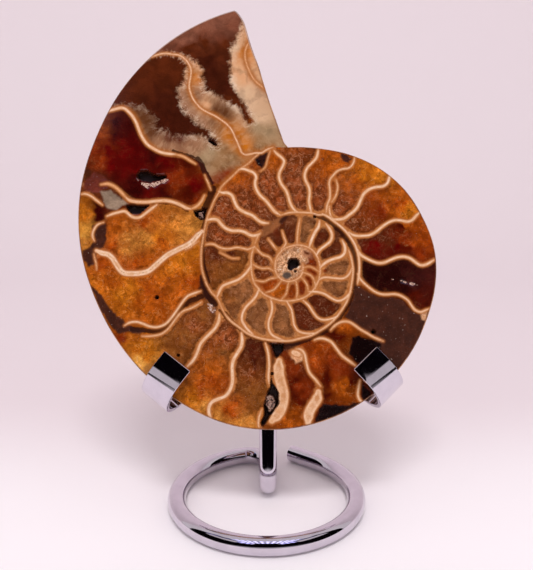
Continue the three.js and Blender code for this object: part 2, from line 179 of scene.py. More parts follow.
    (0.14, 0.45, "9.5 42.5, 11.6 42.9, 13.9 41.6"),
    (0.18, 0.55, "-1.8 74.4, -3.4 73, -5 71.4, -7.5 69.6, -9.3 67.8, -11.1 66.1, -12.3 64.7, -13 63.1, "
     "-14 61.4, -14.9 59.2, -15.7 57.1, -16.3 55, -16.8 52.4, -17.1 50.1, -17.4 48, -17.5 45.5, "
     "-17.3 42.6, -16.7 40.3, -15.8 37.9, -14.6 35.9, -13.1 34.4, -12.1 32.4, -11.1 30.3"),
    (0.14, 0.6, "1 75, 0.3 72.7, -0.3 70.5, -1.5 69.3"),
    (0.25, 0.45, "-11.1 30.3, -9.4 28.3, -7.4 26.8, -5.1 25.1, -2.5 24, 0.1 23.4, 3 23.1, 6.2 23.1, "
     "8.8 23.7, 11.5 24.4, 14.1 25.8, 16.5 27.4, 18.5 29.4, 20 31.4, 21.4 33.8, 22.3 36.5, 22.8 39.3, "
     "23.1 42, 22.7 45, 22 47.4"),
    (0.3, 0.25, "15 57.4, 16.8 56.4, 18.7 54.9, 20.7 53.2, 22.4 51.1, 23.8 48.7, 24.6 45.9, 24.8 43.1, "
     "24.6 40.4, 24.2 38.2"),
    (0.23, 0.35, "4.2 57.1, 6.3 57.7, 8.5 57.8, 10.7 57.7, 12.5 57.5, 13.9 57.1, 15.5 57.1"),
    (0.21, 0.4, "-3.2 48.4, -3.8 46.9, -4.1 45.1, -4.1 43.1, -3.9 40.8, -3.3 38.6, -2 36.8, -0.6 35.4, "
     "1.8 34.3, 4.1 33.7, 6.6 33.7, 8.9 34.2, 11 35.2, 12.7 36.9, 13.8 39.1, 14.3 41.4, 14.2 43.5, "
     "13.6 45.5, 12.4 47.3, 10.8 48.3, 8.7 48.8, 7 48.6, 5 47.9, 3.6 46.7, 2.6 45, 2.3 42.9, 2.7 40.9, "
     "4.1 39.4, 6 38.9, 7.9 39.4, 9.2 40.5, 9.7 42.1, 9.7 43.7"),
    (0.18, 0.5, "-1.6 52.2, -2.5 50.7, -3.1 49.2"),
]
# Thin dark line along the middle of one wall
GROOVE = ("-42.4 46.2, -41.2 45.2, -40.2 43.7, -39.2 42.2, -38 41.2, -36.1 41, -33.6 41.1, -31.5 41.7, "
     "-29.8 43.1, -28.1 44.7, -26.4 46.1, -24.6 47.1, -22.9 48, -21.2 48.8, -19.7 50, -18.5 51.4, "
     "-17.3 52.6")
# Dark gaps and matrix seams: half width, places along them
SEAMS = [
    (0.36, "-25.6 75, -23.3 74.3, -20.9 73.6, -18.8 72.7"),
    (0.72, "-18.8 72.7, -17.5 71.1, -16.9 69.4, -15.9 67.6, -15.1 65.9"),
    (0.22, "-30.9 60.2, -27.4 60.2, -24.4 59.7, -22.3 58.6, -21.2 58.1"),
    (0.14, "-39.9 43.2, -38.9 41.8, -37.7 41.2, -36.1 41, -33.6 41.1, -31.6 41.8, -29.8 43.2, "
     "-28.1 44.8, -26.6 45.9"),
    (0.94, "-14.4 64.3, -15.3 61.9, -16.2 59.8, -17 57.9"),
    (0.44, "-16.4 56.8, -16.9 54.5, -17.2 52.6"),
    (0.66, "-35.5 26.2, -32.8 26, -30.2 25.6, -27.8 25.9, -26.1 27, -24.8 28.6, -23.4 30.6, -21.7 32.6, "
     "-20.3 33.6, -18.7 34.3, -17.1 34.8"),
    (0.99, "-16.8 40.1, -16.1 37.1, -15.1 34.8, -13.8 33.1"),
    (0.36, "-12.4 31.1, -10.3 28.6, -8.6 27.1, -6.6 25.6, -4.6 24.3, -2.3 23.5, 0 22.9, 2.9 22.6, 6 22.5"),
    (0.72, "6 22.4, 8.3 22.8, 10.9 23.6, 13.2 24.5, 15.5 25.7, 17.4 27.2, 19.1 29.1"),
    (0.66, "19.4 29.4, 20.8 31.4, 22 33.8, 22.8 36.3"),
    (0.69, "13.9 56.8, 15.8 56, 17.6 54.7, 19.5 52.9, 21.3 50.8, 22.6 48.4, 23.6 45.7, 23.9 42.8, "
     "23.7 40, 23.3 37.4"),
    (0.69, "-2.6 73.5, -1.2 73, -0.1 73.7"),
    (0.55, "-1.2 71.8, -0.7 70.6"),
    (0.47, "-14.2 61.7, -15.5 59, -16.4 55.6, -16.9 52.3, -17.2 48.8, -17 45.2, -16.4 42, -15.4 38.7"),
    (0.44, "-11 30.7, -8.3 27.5, -4.9 24.9, -1.2 23, 3.5 22, 8.8 22.5, 13.6 24.6, 17.6 27.8"),
]
# Mineral colours inside the chambers and where each one lies
FILLS = {
    # At the tip, the stone's brown is lightened by a painted sheen.
    "tip_brown_and_sheen": "-14.4 112.5, -18.6 110.4, -10.5 113.7, -22.5 107.7",
    "smoke": "-17.2 106.5, -21.3 104.8, -11.3 105.6, -28.1 96.8, -32.8 95.9, -25.1 99.5, -37.2 91.9, "
     "-5.9 86.7",
    "soot": "-14 97.7, -11.7 91.9, -16.8 100.6, -29.4 90.7, -26 86.1, -20.4 80.9, -32.1 86.1, -14.9 78.1",
    "garnet_black": "-40.8 83.2, -40.7 79.5, -31.7 72.4, -27.5 62.9, -35.6 64, -37.1 66.8, -46.3 59.8, "
     "-46.5 57.9, -45.4 56.5",
    "night": "31.8 40.4, 28.9 38.2, 36.6 38.2, 28.2 42.5, 34.3 42",
    "plum": "40.9 39.3, 39.2 37.4",
    "garnet": "-38.6 75.2, -36.6 70.4, -43.8 74.7, -42.1 71, -26.8 71, -31.5 63.1, -19.1 66.2, "
     "-20.2 64.5, 34.7 48.5, 28.3 48.5",
    "wine": "18.3 24.9, -21.9 70.7, -22.1 62.6, 7.7 13.3, 8.2 6.6, 6.1 9.7, 15.5 13.3, 16.5 8.7, 39.4 35, "
     "38.4 47.4, 35.9 53.2, 22.1 12.6",
    "rust": "-45.4 72.4, -24.5 64, -24 67.6, -19.1 61.7, 6.2 17, 17.2 17, 20.3 14.9, 11.1 44.4, "
     "11.9 42.5, 11.1 41.2, 10 39.8, 8.9 38.2, 30.6 57.9, -38.3 24.1, 37.2 50.1, 9.5 11.5, 41.1 46.9",
    "mocha": "-3.8 20.1, -2.8 17",
    "umber": "31.8 50.1, 26.4 50.1, 9.7 30.4, 14.7 32.8, 16.7 47.1, 14.4 52.1, 5.8 53.2, 2.3 50.7, "
     "-9.8 46.9, -13.8 46.3",
    "coal": "25.1 21.7, 27.7 21.4",
    "bark": "2 16.5, -47.4 66.8, -45.2 67.3, -49.1 69",
    "cocoa": "-5.8 49.9, -14.6 51.8, -0.9 48.5, -2 45, -0.9 40.9, 9.1 73.8, 24.6 54.5, -4.3 14.9, "
     "8.3 19.1, -48.4 64",
    "chestnut": "-11.1 50.4, -6.1 62.3, -10.4 57.6, 8 66.8, 0.1 66.2, 14 64, 21 61.2, -10.7 23.3, "
     "-5.8 55.1, -3.4 59.2, 8 61.7, 3.7 61.2, -18.9 27.3",
    "sienna": "0.1 37.7, -46.2 79.8, 36.1 59.8, -17.3 10.2, -19 39.3, -31 36.6, -41.4 48.5, -32.4 54.5, "
     "41.7 50.1, 14.8 21.2, -9 5.6, -13.2 11.8, 13 19.1, -45 42.5, -35.4 44.1",
    "amber": "1 72.4, -7.7 67.3, 15.4 70.7, -29.5 30.7, -33.5 32.3, -41.1 37.9, -39.9 53.4, -27.2 48.5, "
     "-14.3 16.5, 22 25.7, 20.5 27.5, 2.8 35.8, 24.8 66.2, 19.7 11.3, 34.9 57.9, 37 54, -5.9 78.1, "
     "-31.1 44.1, -46.5 81.8, 6.1 1.8",
    "gold": "-38.9 33.9, -35.8 38.2, -22.8 43.6, -20.5 46.1, -31.1 20.1, -34.8 20.7, 28.7 68.2, "
     "-28.6 51.2, -49.5 57, -6.4 75.8, -19.9 8.2, -34.3 22, 33 67.3, -47.6 40.4, 38.2 58.4",
    "honey": "-36.6 49.3, -22.7 52.9, -32.6 51.2, -6.9 2, -16 6.6, -11.5 3, -49 49.9, -19.2 55.1",
    "lemon": "-32.9 17.5, -49.6 52.1",
    "olive": "-25.4 22, -21.2 25.1, -16 31, -11.1 42.8, -7.1 44.1, -9.2 34.7, -4.3 8.7, -10.9 19.3, "
     "-24 17.5, -1.2 8.9, -5.9 11.5",
    "tan": "-11.8 31.5",
    "hazel": "-3 31.5, 3.3 29.9, 18 38.5, 18 43.6, 10.4 54, -7.8 36.6, -5.4 33.4",
    "pale": "7.1 46.6, 4.7 44.7, 9.2 45.8, 3.9 43.1",
}
# Colours of the crystal linings and where each one lies
VEILS = {
    "gold": "-20.4 96.5, -6.5 103.6, -7.8 78.1, -9.5 79.8, -6.4 76.4",
    "peach": "-16.7 87.8, -7.4 98.3, -6.5 95.9, -21.8 99.5",
    "clay": "-25.8 76.4, -20.9 76.4, -18.2 76.4, -29.1 76.9, -18.3 83.2, -21 85.5, -25 92.5, -19.5 90.7, "
     "-23.3 89.6",
    "sand": "-4.5 88.4, -1.2 84.4, -8.5 104.8, -5.7 91.9",
    "sage": "0.4 80.4, -2.3 81.5, -14.9 74.7, -16.8 73",
    "moss": "-11.3 71, -12.7 75.2, -1.2 77.5, -9.4 73, -14 70.7",
    "peat": "-32 84.4, -34.3 86.7, -36.5 87.2, -30.8 80.9, -14.2 86.7, -11.7 86.1",
    "rust": "-12.1 67.3, -10.5 68.5",
    "umber": "-23.7 78.4, -26.4 78.4",
}
# Dark cores of the two druse-lined chambers
CORES = [
    "-7.8 108.8, -9.9 104.3, -10.1 97.7, -9.4 93.8, -6.1 88.5, -3.7 83.5, -5.1 82.9, -7.8 87.2, "
     "-11.4 89.6, -16.9 92.5, -17.6 95.4, -17.9 98.3, -19.6 100.6, -21 101.2, -22.1 102.1, -24.9 103.2, "
     "-28.3 103.4, -32.4 102.7, -33.9 107.1, -21.5 117.6, -7.5 119.1, -5.8 114.3",
    "-22.2 100, -22.5 97.4, -22.6 95.1, -24.3 93.3, -24.3 90.3, -23.4 87.2, -22.1 85.5, -20.1 83.8, "
     "-17.6 81.6, -15.5 80.4, -13.8 77.8, -13.4 76.5, -14.6 76.4, -16.3 78.4, -17.1 79.2, -19.6 79.5, "
     "-23.7 79.1, -25.7 79.3, -27.8 80.8, -29.9 81.2, -30.4 83.8, -31.2 85.5, -32.9 87.2, -34.6 88.1, "
     "-37.1 88.1, -39.1 88.5, -42.6 87.8, -45.9 90.1, -36.6 101.2, -32.4 102.1, -28.2 102.9, -24.9 102.4",
]
# Outlines of those two chambers
DRUSE_CHAMBERS = [
    "9.2 76.1, 4.5 76.1, 2.3 76.1, 0.4 75.5, -1.2 74.7, -4.5 74.1, -6.4 74.4, -7.8 77.2, -9.5 80.6, "
     "-12.2 83.8, -16.1 85.9, -19.2 88.4, -20.9 91.9, -21.2 95.4, -20.9 97.7, -21.9 100.6, -24.6 102.7, "
     "-28.3 103.3, -31.6 102.4, -32.5 107.1, -21.5 117.6, -4.6 119.1, 6.5 101.2, 11.9 78.1",
    "-31.6 102.4, -28.3 103.3, -24.6 102.7, -21.9 100.6, -20.9 97.7, -21.2 95.4, -20.9 91.9, -19.2 88.4, "
     "-16.1 85.9, -12.2 83.8, -9.5 80.6, -7.8 77.2, -6.4 74.4, -3.1 73.5, -7.2 69.9, -12.1 65.1, "
     "-14.8 66.8, -17.3 71.3, -20.9 73.5, -25 74.4, -29.1 74.9, -32.7 76.9, -35 80.9, -37 85.2, "
     "-39.2 87.2, -41.7 87, -44.4 85.8, -47.3 89.6, -37.9 101.2",
]
# Outlines of the open cavities
PITS = [
    "5.5 44, 5.9 45, 6.8 45.5, 8 45.3, 8.8 44.6, 8.9 43.6, 8.1 42.7, 7.1 42.4, 6 42.8",
    "-35.5 68.5, -34.4 69.6, -32.5 69.7, -30.9 68.7, -28.9 68.3, -27.3 68.5, -27 67.6, -28.9 66.8, "
     "-31.6 66.2, -33.8 66.6, -35.2 67.3",
    "-38 59.8, -36.1 60.2, -31.7 59.8, -33.1 58.4, -34.1 57.6, -36.3 57.4, -37.4 58.4",
    "-20.1 58.3, -18.2 58.8, -15.8 59.4, -16.2 57.6, -16.7 55.9, -17.9 55.8, -19.3 56.9",
    "1.3 14.9, 1.6 12, 3.3 9.7, 3.3 6.7, 1.9 4.7, -0.1 1.8, -1.2 0.6, -1.5 1.8, -0.6 4.1, -0.8 6.4, "
     "0.1 9.5, 0.9 11",
    "1.1 22.4, 4.9 22.4, 4.4 20.3, 2.5 18.2",
    "-16 78.6, -14.6 78.1, -13.4 76.8, -13.7 76.1, -14.9 76.9, -15.9 77.6",
]
# Pale crystal crusts beside or inside the cavities
CRUSTS = [
    "-35.4 67.6, -34.3 66.5, -32.4 65.9, -29.4 66.5, -27.3 67.2, -26.2 67.3, -26.7 66.5, -28.9 65.5, "
     "-32.1 64.5, -34.3 65.4",
    "-0.1 8.7, 1.7 9.2, 2.6 7.7, 1.9 5.3, 0.5 4.4, -0.3 6.4",
    "-18.7 58, -17.1 58.5, -16.3 57.9, -17.1 56.3, -18.2 56.5",
    "-16 33.9, -14.7 32.8, -13.4 31, -14.2 30.4, -15.8 31.8",
    "32.4 39.8, 35.5 39.4, 38.7 38.5, 40.8 37.9, 40.3 37.7, 36.6 38.6, 33.4 39.3",
]
# Small round holes: across, up, radius
HOLES = [
    (6.5, 42.8, 0.9), (7.6, 41.7, 0.4), (-29.1, 34.7, 0.5), (-23.2, 19.3, 0.4),
    (28.2, 25.5, 0.6), (13, 56.7, 0.4), (1.5, 14.5, 0.4),
]
# Patches of dull matrix and other stone: colour, dullness, outline
PATCHES = [
    ("ash", 0.5, "4.4 41.4, 5.5 41.8, 6.4 41.3, 6.7 40.4, 6 39.4, 4.9 39.3, 4.2 40.2"),
    ("bark", 1, "23.8 38.5, 25.4 37.4, 27.5 35.8, 30.4 34.7, 34.1 34.7, 36.7 33.4, 38.3 31.5, 39.8 30.3, "
     "40.8 29.6, 42.1 28, 40.4 22.8, 36.8 17, 33.6 13.1, 30.6 20.1, 28.8 23.7, 26.2 25.1, 23.9 26.7, "
     "22.1 28.3, 20.7 29.4, 21.6 31.2, 22.7 33.9"),
    ("coal", 0.8, "14.7 6.6, 17.5 6.6, 20.4 6.4, 23 6.9, 25.4 7, 22.2 4.8, 20.4 3.9, 16.5 2.4, 12.8 1.2, "
     "12.6 3.3, 13.4 5.3"),
    ("coal", 0.3, "22.5 24.1, 24.6 24.3, 27.8 23.3, 29.8 22, 29.3 19.3, 25.5 16.5, 23.7 17.5, 21.7 19.6"),
    ("coal", 0.5, "24.9 12, 27.5 9.2, 29.5 8.2, 27.4 7.1, 25.4 7.1, 24.5 8.9"),
    ("stone", 0.6, "-45 63.7, -42.2 63.9, -40.4 62.7, -37.8 60.2, -40.3 58.3, -42.6 58.7, -44.2 60.5"),
    ("bark", 0.9, "-46.9 54, -44.8 55.1, -43.2 54.8, -43.1 51.2, -43.5 48, -45.4 47.1, -45.5 44.1, "
     "-47.4 42.8, -49.3 45, -49.4 47.4, -47.3 48.2, -46.3 50.1"),
    ("bark", 0.9, "-47.2 38.2, -45 36.3, -43.1 34.2, -40.9 31.5, -38.2 28.8, -36.8 27.3, -34.4 26.5, "
     "-30.7 25.7, -33.3 24.9, -36.5 25.4, -39.1 24.9, -41.9 28, -44.7 32.8"),
    ("dusk", 0.6, "-46.9 69, -44.1 67.9, -41.9 65.7, -44 64.3, -45.6 63.4, -49.4 64, -49.5 66.2"),
    ("resin", 0.4, "-2.3 51.2, -1.2 53.4, 0.4 55, 2.6 56.2, 4.4 56.6, 4.7 55.4, 2.8 53.7, 1.5 52.1, "
     "-0.7 50.7"),
    ("bark", 0.7, "4.4 56.8, 6.1 57.2, 5.5 55.9, 4.2 54.5, 3.4 55.1"),
    ("bark", 0.6, "20.1 74.5, 22.2 73.8, 23.4 72.7, 22.5 71.3, 20.8 72.1"),
    ("peach", 0.1, "6.3 20.4, 8.3 21.1, 9.8 19.9, 9.6 17.8, 7.7 17.1, 6.4 18.6"),
    ("coal", 0.6, "-3.7 73.2, -1.8 74.2, 0.4 74.5, -0.1 72.4, -1.2 70.1, -2.3 70.7, -3.1 72.1"),
    ("bark", 0.6, "4.6 22.4, 8.8 22.6, 8 21.4, 6.2 20.7, 4.6 20.7"),
    ("bark", 0.5, "-17.7 40.4, -16.1 38.7, -14.5 35, -12.8 32.6, -14.4 32.8, -16.6 34.2, -17.7 36.6"),
    ("peach", 0.1, "40.9 30.4, 42.7 30.8, 42.1 28.6, 41.2 29"),
    ("dusk", 0.4, "-17.3 72.4, -15.9 69, -14.2 65.9, -15.6 65.7, -17 67.6, -18.4 70.7, -18.9 72.7"),
]

# Colours named for what they look like
PALETTE = {
    # The first colour, used at the tip, is the stone's brown lightened by a painted sheen.
    "tip_brown_and_sheen": "7c4b38", "smoke": "50200c", "soot": "3c1509", "garnet_black": "340504", "night": "240706",
    "plum": "391310", "garnet": "560404", "wine": "4a0e03", "rust": "7a2807", "umber": "541f0d",
    "bark": "3f1c0e", "coal": "140505", "cocoa": "783715", "chestnut": "8a421e", "ash": "5a4a40",
    "sienna": "9b4009", "amber": "a8500f", "gold": "bd6a16", "honey": "c07a30", "clay": "94684c",
    "lemon": "d6963c", "olive": "8c4f1e", "tan": "a26438", "sand": "cca684", "moss": "8a6440",
    "pale": "d8a478", "peach": "d09a70", "sage": "957a5a", "stone": "8a7460", "dusk": "64281a",
    "peat": "583018", "hazel": "a3683c", "mocha": "45160a", "resin": "86502c",
}
# How each filling looks: clouded, with squiggles, with crystal facets, with an orange margin
LOOK = {
    "tip_brown_and_sheen": (0.15, 0, 0, 0.1), "smoke": (0.15, 0, 0, 0.1), "soot": (0.1, 0, 0, 0.1),
    "garnet_black": (0.2, 0, 0.05, 0.45), "night": (0.2, 0, 0.1, 0.45), "plum": (0.3, 0, 0.1, 0.5),
    "garnet": (0.25, 0, 0.1, 0.5), "wine": (0.4, 0, 0.3, 0.35), "rust": (0.4, 0.1, 0.35, 0.7),
    "mocha": (0.5, 0.1, 0.3, 0.8), "umber": (0.4, 0.4, 0.2, 0.9), "bark": (0.3, 0, 0, 0.2),
    "coal": (0.2, 0, 0.2, 0.2), "cocoa": (0.9, 0.8, 0.1, 1), "chestnut": (0.9, 0.9, 0.1, 1),
    "sienna": (0.7, 0.1, 0.8, 0.45), "amber": (0.75, 0, 1, 0.35), "gold": (0.75, 0, 1, 0.25),
    "honey": (0.7, 0, 1, 0.2), "lemon": (0.3, 0, 0.6, 0.2), "olive": (0.8, 0.2, 0.7, 1.5),
    "tan": (0.6, 0.6, 0.3, 1.5), "pale": (0.6, 0.5, 0.2, 0), "hazel": (0.8, 0.5, 0.4, 1.6),
}
MATRIX_LOOK = np.array((0.35, 0, 0, 0.12))


def linear(name):
    """Scene-linear colour of a palette name or of six hex digits."""
    text = PALETTE.get(name, name)
    part = np.array([int(text[i:i + 2], 16) / 255 for i in (0, 2, 4)])
    return np.where(part <= 0.04045, part / 12.92, ((part + 0.055) / 1.055) ** 2.4)


# Face frame
def place(points):
    """Face points (across, up the face, depth behind it) in mm to the shared frame in metres."""
    p = np.asarray(points, float)
    c, s = math.cos(FACE_LEAN), math.sin(FACE_LEAN)
    x = RING_CENTRE[0] + FACE_FOOT[0] + p[:, 0]
    y = RING_CENTRE[1] + FACE_FOOT[1] + p[:, 1] * s + p[:, 2] * c
    z = FACE_FOOT[2] + p[:, 1] * c - p[:, 2] * s
    return np.stack((x, y, z), 1) * MM


def picked(text):
    """Places on the sawn face from text, across and up it in mm."""
    return np.array([spot.split() for spot in text.split(",")], float)


# Curves, distances and noise on the face
def spline(values, x):
    """Catmull-Rom curve through equally spaced values, at x from 0 to 1."""
    v = np.asarray(values, float)
    top = len(v) - 1
    at = np.clip(np.asarray(x, float) * top, 0, top)
    i = np.minimum(at.astype(int), top - 1)
    t = at - i
    p0, p1 = v[np.maximum(i - 1, 0)], v[i]
    p2, p3 = v[i + 1], v[np.minimum(i + 2, top)]
    a, b = (p2 - p0) / 2, (p3 - p1) / 2
    return (2 * p1 - 2 * p2 + a + b) * t**3 + (-3 * p1 + 3 * p2 - 2 * a - b) * t**2 + a * t + p1


def smoothstep(x, lo, hi):
    t = np.clip((x - lo) / (hi - lo), 0, 1)
    return t * t * (3 - 2 * t)


def resample(p, step):
    """A path with points at an even step, smoothed through its corners."""
    fine = np.linspace(0, 1, (len(p) - 1) * 12 + 1)
    q = np.stack((spline(p[:, 0], fine), spline(p[:, 1], fine)), 1)
    run = np.concatenate(([0], np.cumsum(np.linalg.norm(np.diff(q, axis=0), axis=1))))
    at = np.linspace(0, run[-1], max(2, int(round(run[-1] / step)) + 1))
    return np.stack((np.interp(at, run, q[:, 0]), np.interp(at, run, q[:, 1])), 1)


def lattice_noise(p, size, seed):
    """Smooth value noise from 0 to 1 with cells of the given size."""
    grid = np.random.default_rng(seed).random((64, 64))
    q = p / size + 500
    i = np.floor(q).astype(int)
    f = smoothstep(q - i, 0, 1)
    x0, y0 = i[:, 0] % 64, i[:, 1] % 64
    x1, y1 = (x0 + 1) % 64, (y0 + 1) % 64
    low = grid[x0, y0] * (1 - f[:, 0]) + grid[x1, y0] * f[:, 0]
    high = grid[x0, y1] * (1 - f[:, 0]) + grid[x1, y1] * f[:, 0]
    return low * (1 - f[:, 1]) + high * f[:, 1]


def path_distance(p, path):
    """Distance of points from a path and the length along it to the nearest place."""
    best = np.full(len(p), 1e9)
    along = np.zeros(len(p))
    run = 0.0
    for a, b in zip(path[:-1], path[1:]):
        d = b - a
        size = float(np.hypot(*d))
        if size < 1e-9:
            continue
        t = np.clip(((p - a) @ d) / size**2, 0, 1)
        far = np.hypot(p[:, 0] - a[0] - t * d[0], p[:, 1] - a[1] - t * d[1])
        near = far < best
        best[near] = far[near]
        along[near] = run + t[near] * size
        run += size
    return best, along


def inside(p, loop):
    odd = np.zeros(len(p), bool)
    x, y = p[:, 0], p[:, 1]
    for (ax, ay), (bx, by) in zip(loop, np.roll(loop, -1, axis=0)):
        if ay != by:
            odd ^= ((ay > y) != (by > y)) & (x < (bx - ax) * (y - ay) / (by - ay) + ax)
    return odd


def loop_distance(p, loop):
    """Signed distance to a closed loop, below zero inside."""
    far, _ = path_distance(p, np.vstack((loop, loop[:1])))
    return np.where(inside(p, loop), -far, far)


def near_loop_distance(p, loop, reach):
    """The same, worked out only for points within reach of the loop's box."""
    close = np.all((p > loop.min(0) - reach) & (p < loop.max(0) + reach), axis=1)
    out = np.full(len(p), 1e3)
    if close.any():
        out[close] = loop_distance(p[close], loop)
    return out


# Outline of the stone, a hair inside its solid, and the depth of its back
RIM_LINES = 470
RIM_INSET = 0.04
CUT_STEP = 0.55
rim_share = np.linspace(0, 1, RIM_LINES)
rim_radius = spline(OUTLINE_RADII, rim_share) - RIM_INSET
rim_angle = np.radians(NOTCH_DEG - OUTLINE_TURN_DEG * rim_share)
rim_points = POLE + rim_radius[:, None] * np.stack((np.cos(rim_angle), np.sin(rim_angle)), 1)
cut_points = resample(np.vstack((rim_points[-1:], CUT_EDGE, rim_points[:1])), CUT_STEP)[1:-1]
outline = np.vstack((rim_points, cut_points))
closed_outline = np.vstack((outline, outline[:1]))
outline_count = len(outline)
depth_radius = np.concatenate((rim_radius, np.full(len(cut_points), rim_radius[-1])))


def shell_depth(radius, full_radius):
    t = radius / full_radius
    full = SHELL_DEPTH_SHARE * full_radius
    x = np.clip((t - SHOULDER_SHARE) / (1 - SHOULDER_SHARE), 0, 1)
    dome = full * np.sqrt(1 - x * x)
    hollow = POLE_DEPTH + (full - POLE_DEPTH) * smoothstep(t, HOLLOW_SHARE, SHOULDER_SHARE)
    return np.where(t >= SHOULDER_SHARE, dome, hollow)


# Points of the sawn face
FACE_STEP = 0.345
EDGE_INSET = 0.22
tangent = np.roll(outline, -1, axis=0) - np.roll(outline, 1, axis=0)
tangent /= np.linalg.norm(tangent, axis=1)[:, None]
face_edge = outline + EDGE_INSET * np.stack((tangent[:, 1], -tangent[:, 0]), 1)
columns = np.arange(outline[:, 0].min(), outline[:, 0].max(), FACE_STEP)
rows = np.arange(outline[:, 1].min(), outline[:, 1].max(), FACE_STEP * math.sqrt(3) / 2)
grid_u, grid_v = np.meshgrid(columns, rows)
grid_u = grid_u + (np.arange(len(rows)) % 2)[:, None] * FACE_STEP / 2
inner = np.stack((grid_u.ravel(), grid_v.ravel()), 1)
inner = inner[inside(inner, face_edge)]
edge_far, _ = path_distance(inner, np.vstack((face_edge, face_edge[:1])))
inner = inner[edge_far > FACE_STEP * 0.5]
flat = np.vstack((face_edge, inner))
ring = [(i, (i + 1) % outline_count) for i in range(outline_count)]
made = delaunay_2d_cdt([Vector(p) for p in flat], ring, [], 1, 1e-5)
face_uv = np.array([(v[0], v[1]) for v in made[0]])
face_tris = np.array(made[2])
was = {o: i for i, old in enumerate(made[3]) for o in old}
edge_index = np.array([was[i] for i in range(outline_count)])
face_count = len(face_uv)

# Chamber walls, seams and edge: distances on the face
PATH_STEP = 0.5
FAR_OFF = 50.0
septum_paths = [resample(picked(spots), PATH_STEP) for _, _, spots in SEPTA]
septum = np.full(face_count, FAR_OFF)
tone, along, glow = np.zeros((3, face_count))
run_start = 0.0
for (half, shade, _), path in zip(SEPTA, septum_paths):
    far, run = path_distance(face_uv, path)
    length = float(np.sum(np.linalg.norm(np.diff(path, axis=0), axis=1)))
    taper = 0.6 + 0.4 * smoothstep(np.minimum(run, length - run), 0, 1.6)
    signed = far - half * taper
    glow += np.exp(-np.maximum(signed, 0) / (0.3 + 0.9 * min(half, 0.6)))
    near = signed < septum
    septum[near] = signed[near]
    tone[near] = shade
    along[near] = run[near] + run_start
    run_start += length + 7.3
seam = np.full(face_count, FAR_OFF)
for half, spots in SEAMS:
    far, _ = path_distance(face_uv, resample(picked(spots), PATH_STEP))
    seam = np.minimum(seam, far - half)
groove, _ = path_distance(face_uv, resample(picked(GROOVE), PATH_STEP))
edge_distance, _ = path_distance(face_uv, closed_outline)

# Mineral colours spread from their places until they meet a chamber wall
CELL = 0.45
WALL_REACH = 0.34
SEED_RADIUS = 1.0
SPREAD_ROUNDS = 500
GROW_ROUNDS = 8
NEIGHBOURS = [(1, 0), (-1, 0), (0, 1), (0, -1)]
cell_u = np.arange(outline[:, 0].min() - 1, outline[:, 0].max() + 1, CELL)
cell_v = np.arange(outline[:, 1].min() - 1, outline[:, 1].max() + 1, CELL)
cu, cv = np.meshgrid(cell_u, cell_v)
cells = np.stack((cu.ravel(), cv.ravel()), 1)
wall = np.zeros(len(cells), bool)
for (half, _, _), path in zip(SEPTA, septum_paths):
    close = np.all((cells > path.min(0) - 2) & (cells < path.max(0) + 2), axis=1)
    far, _ = path_distance(cells[close], path)
    wall[np.flatnonzero(close)[far < max(WALL_REACH, half)]] = True
free = (inside(cells, outline) & ~wall).reshape(cu.shape)
seeds = [(p, name) for name, spots in FILLS.items() for p in picked(spots)]
seed_value = np.array([[*linear(name), *LOOK[name]] for _, name in seeds])
nearest = np.full(len(cells), 1e9)
owner = np.zeros(len(cells), int)
for k, (p, _) in enumerate(seeds):
    far = np.hypot(*(cells - p).T)
    near = far < nearest
    nearest[near] = far[near]
    owner[near] = k
source = seed_value[owner].reshape(*cu.shape, 7)
fixed = (nearest < SEED_RADIUS).reshape(cu.shape) & free


def around(a):
    """Sum over the four neighbours of each cell."""
    return sum(np.roll(np.roll(a, dy, axis=0), dx, axis=1) for dy, dx in NEIGHBOURS)


field = source.copy()
weight = free.astype(float)[..., None]
weight_sum = around(weight)
for _ in range(SPREAD_ROUNDS):
    mean = np.where(weight_sum > 0, around(field * weight) / np.maximum(weight_sum, 1), field)
    field = np.where(fixed[..., None], source, np.where(free[..., None], mean, field))
filled = free.copy()
for _ in range(GROW_ROUNDS):
    weight = filled.astype(float)[..., None]
    weight_sum = around(weight)
    grow = ~filled & (weight_sum[..., 0] > 0)
    field[grow] = (around(field * weight) / np.maximum(weight_sum, 1))[grow]
    filled |= grow


def sample(values, p):
    """Cell values between the cells' middles."""
    x = (p[:, 0] - cell_u[0]) / CELL
    y = (p[:, 1] - cell_v[0]) / CELL
    i = np.clip(x.astype(int), 0, len(cell_u) - 2)
    j = np.clip(y.astype(int), 0, len(cell_v) - 2)
    fx, fy = (x - i)[:, None], (y - j)[:, None]
    low = values[j, i] * (1 - fx) + values[j, i + 1] * fx
    high = values[j + 1, i] * (1 - fx) + values[j + 1, i + 1] * fx
    return low * (1 - fy) + high * fy


# The colours flow a little away from their places, less so near the walls
flow = [lattice_noise(face_uv, 2.6, k) + 0.5 * lattice_noise(face_uv, 1.1, k + 2) for k in (21, 22)]
flow = (np.stack(flow, 1) - 0.75) * np.clip(2.2 * septum, 0, 2.8)[:, None]
spread = sample(field, face_uv + flow)
tint, look = spread[:, :3], spread[:, 3:]

# Crystal linings
veil = np.zeros((face_count, 3))
veil_weight = np.zeros(face_count)
for name, spots in VEILS.items():
    for p in picked(spots):
        w = 1 / (0.4 + np.hypot(*(face_uv - p).T)) ** 3
        veil += w[:, None] * linear(name)
        veil_weight += w
veil /= veil_weight[:, None]
druse = np.full(face_count, -6.0)
for chamber, core in zip(DRUSE_CHAMBERS, CORES):
    within = near_loop_distance(face_uv, picked(chamber), 1) < 0
    druse[within] = loop_distance(face_uv[within], picked(core))

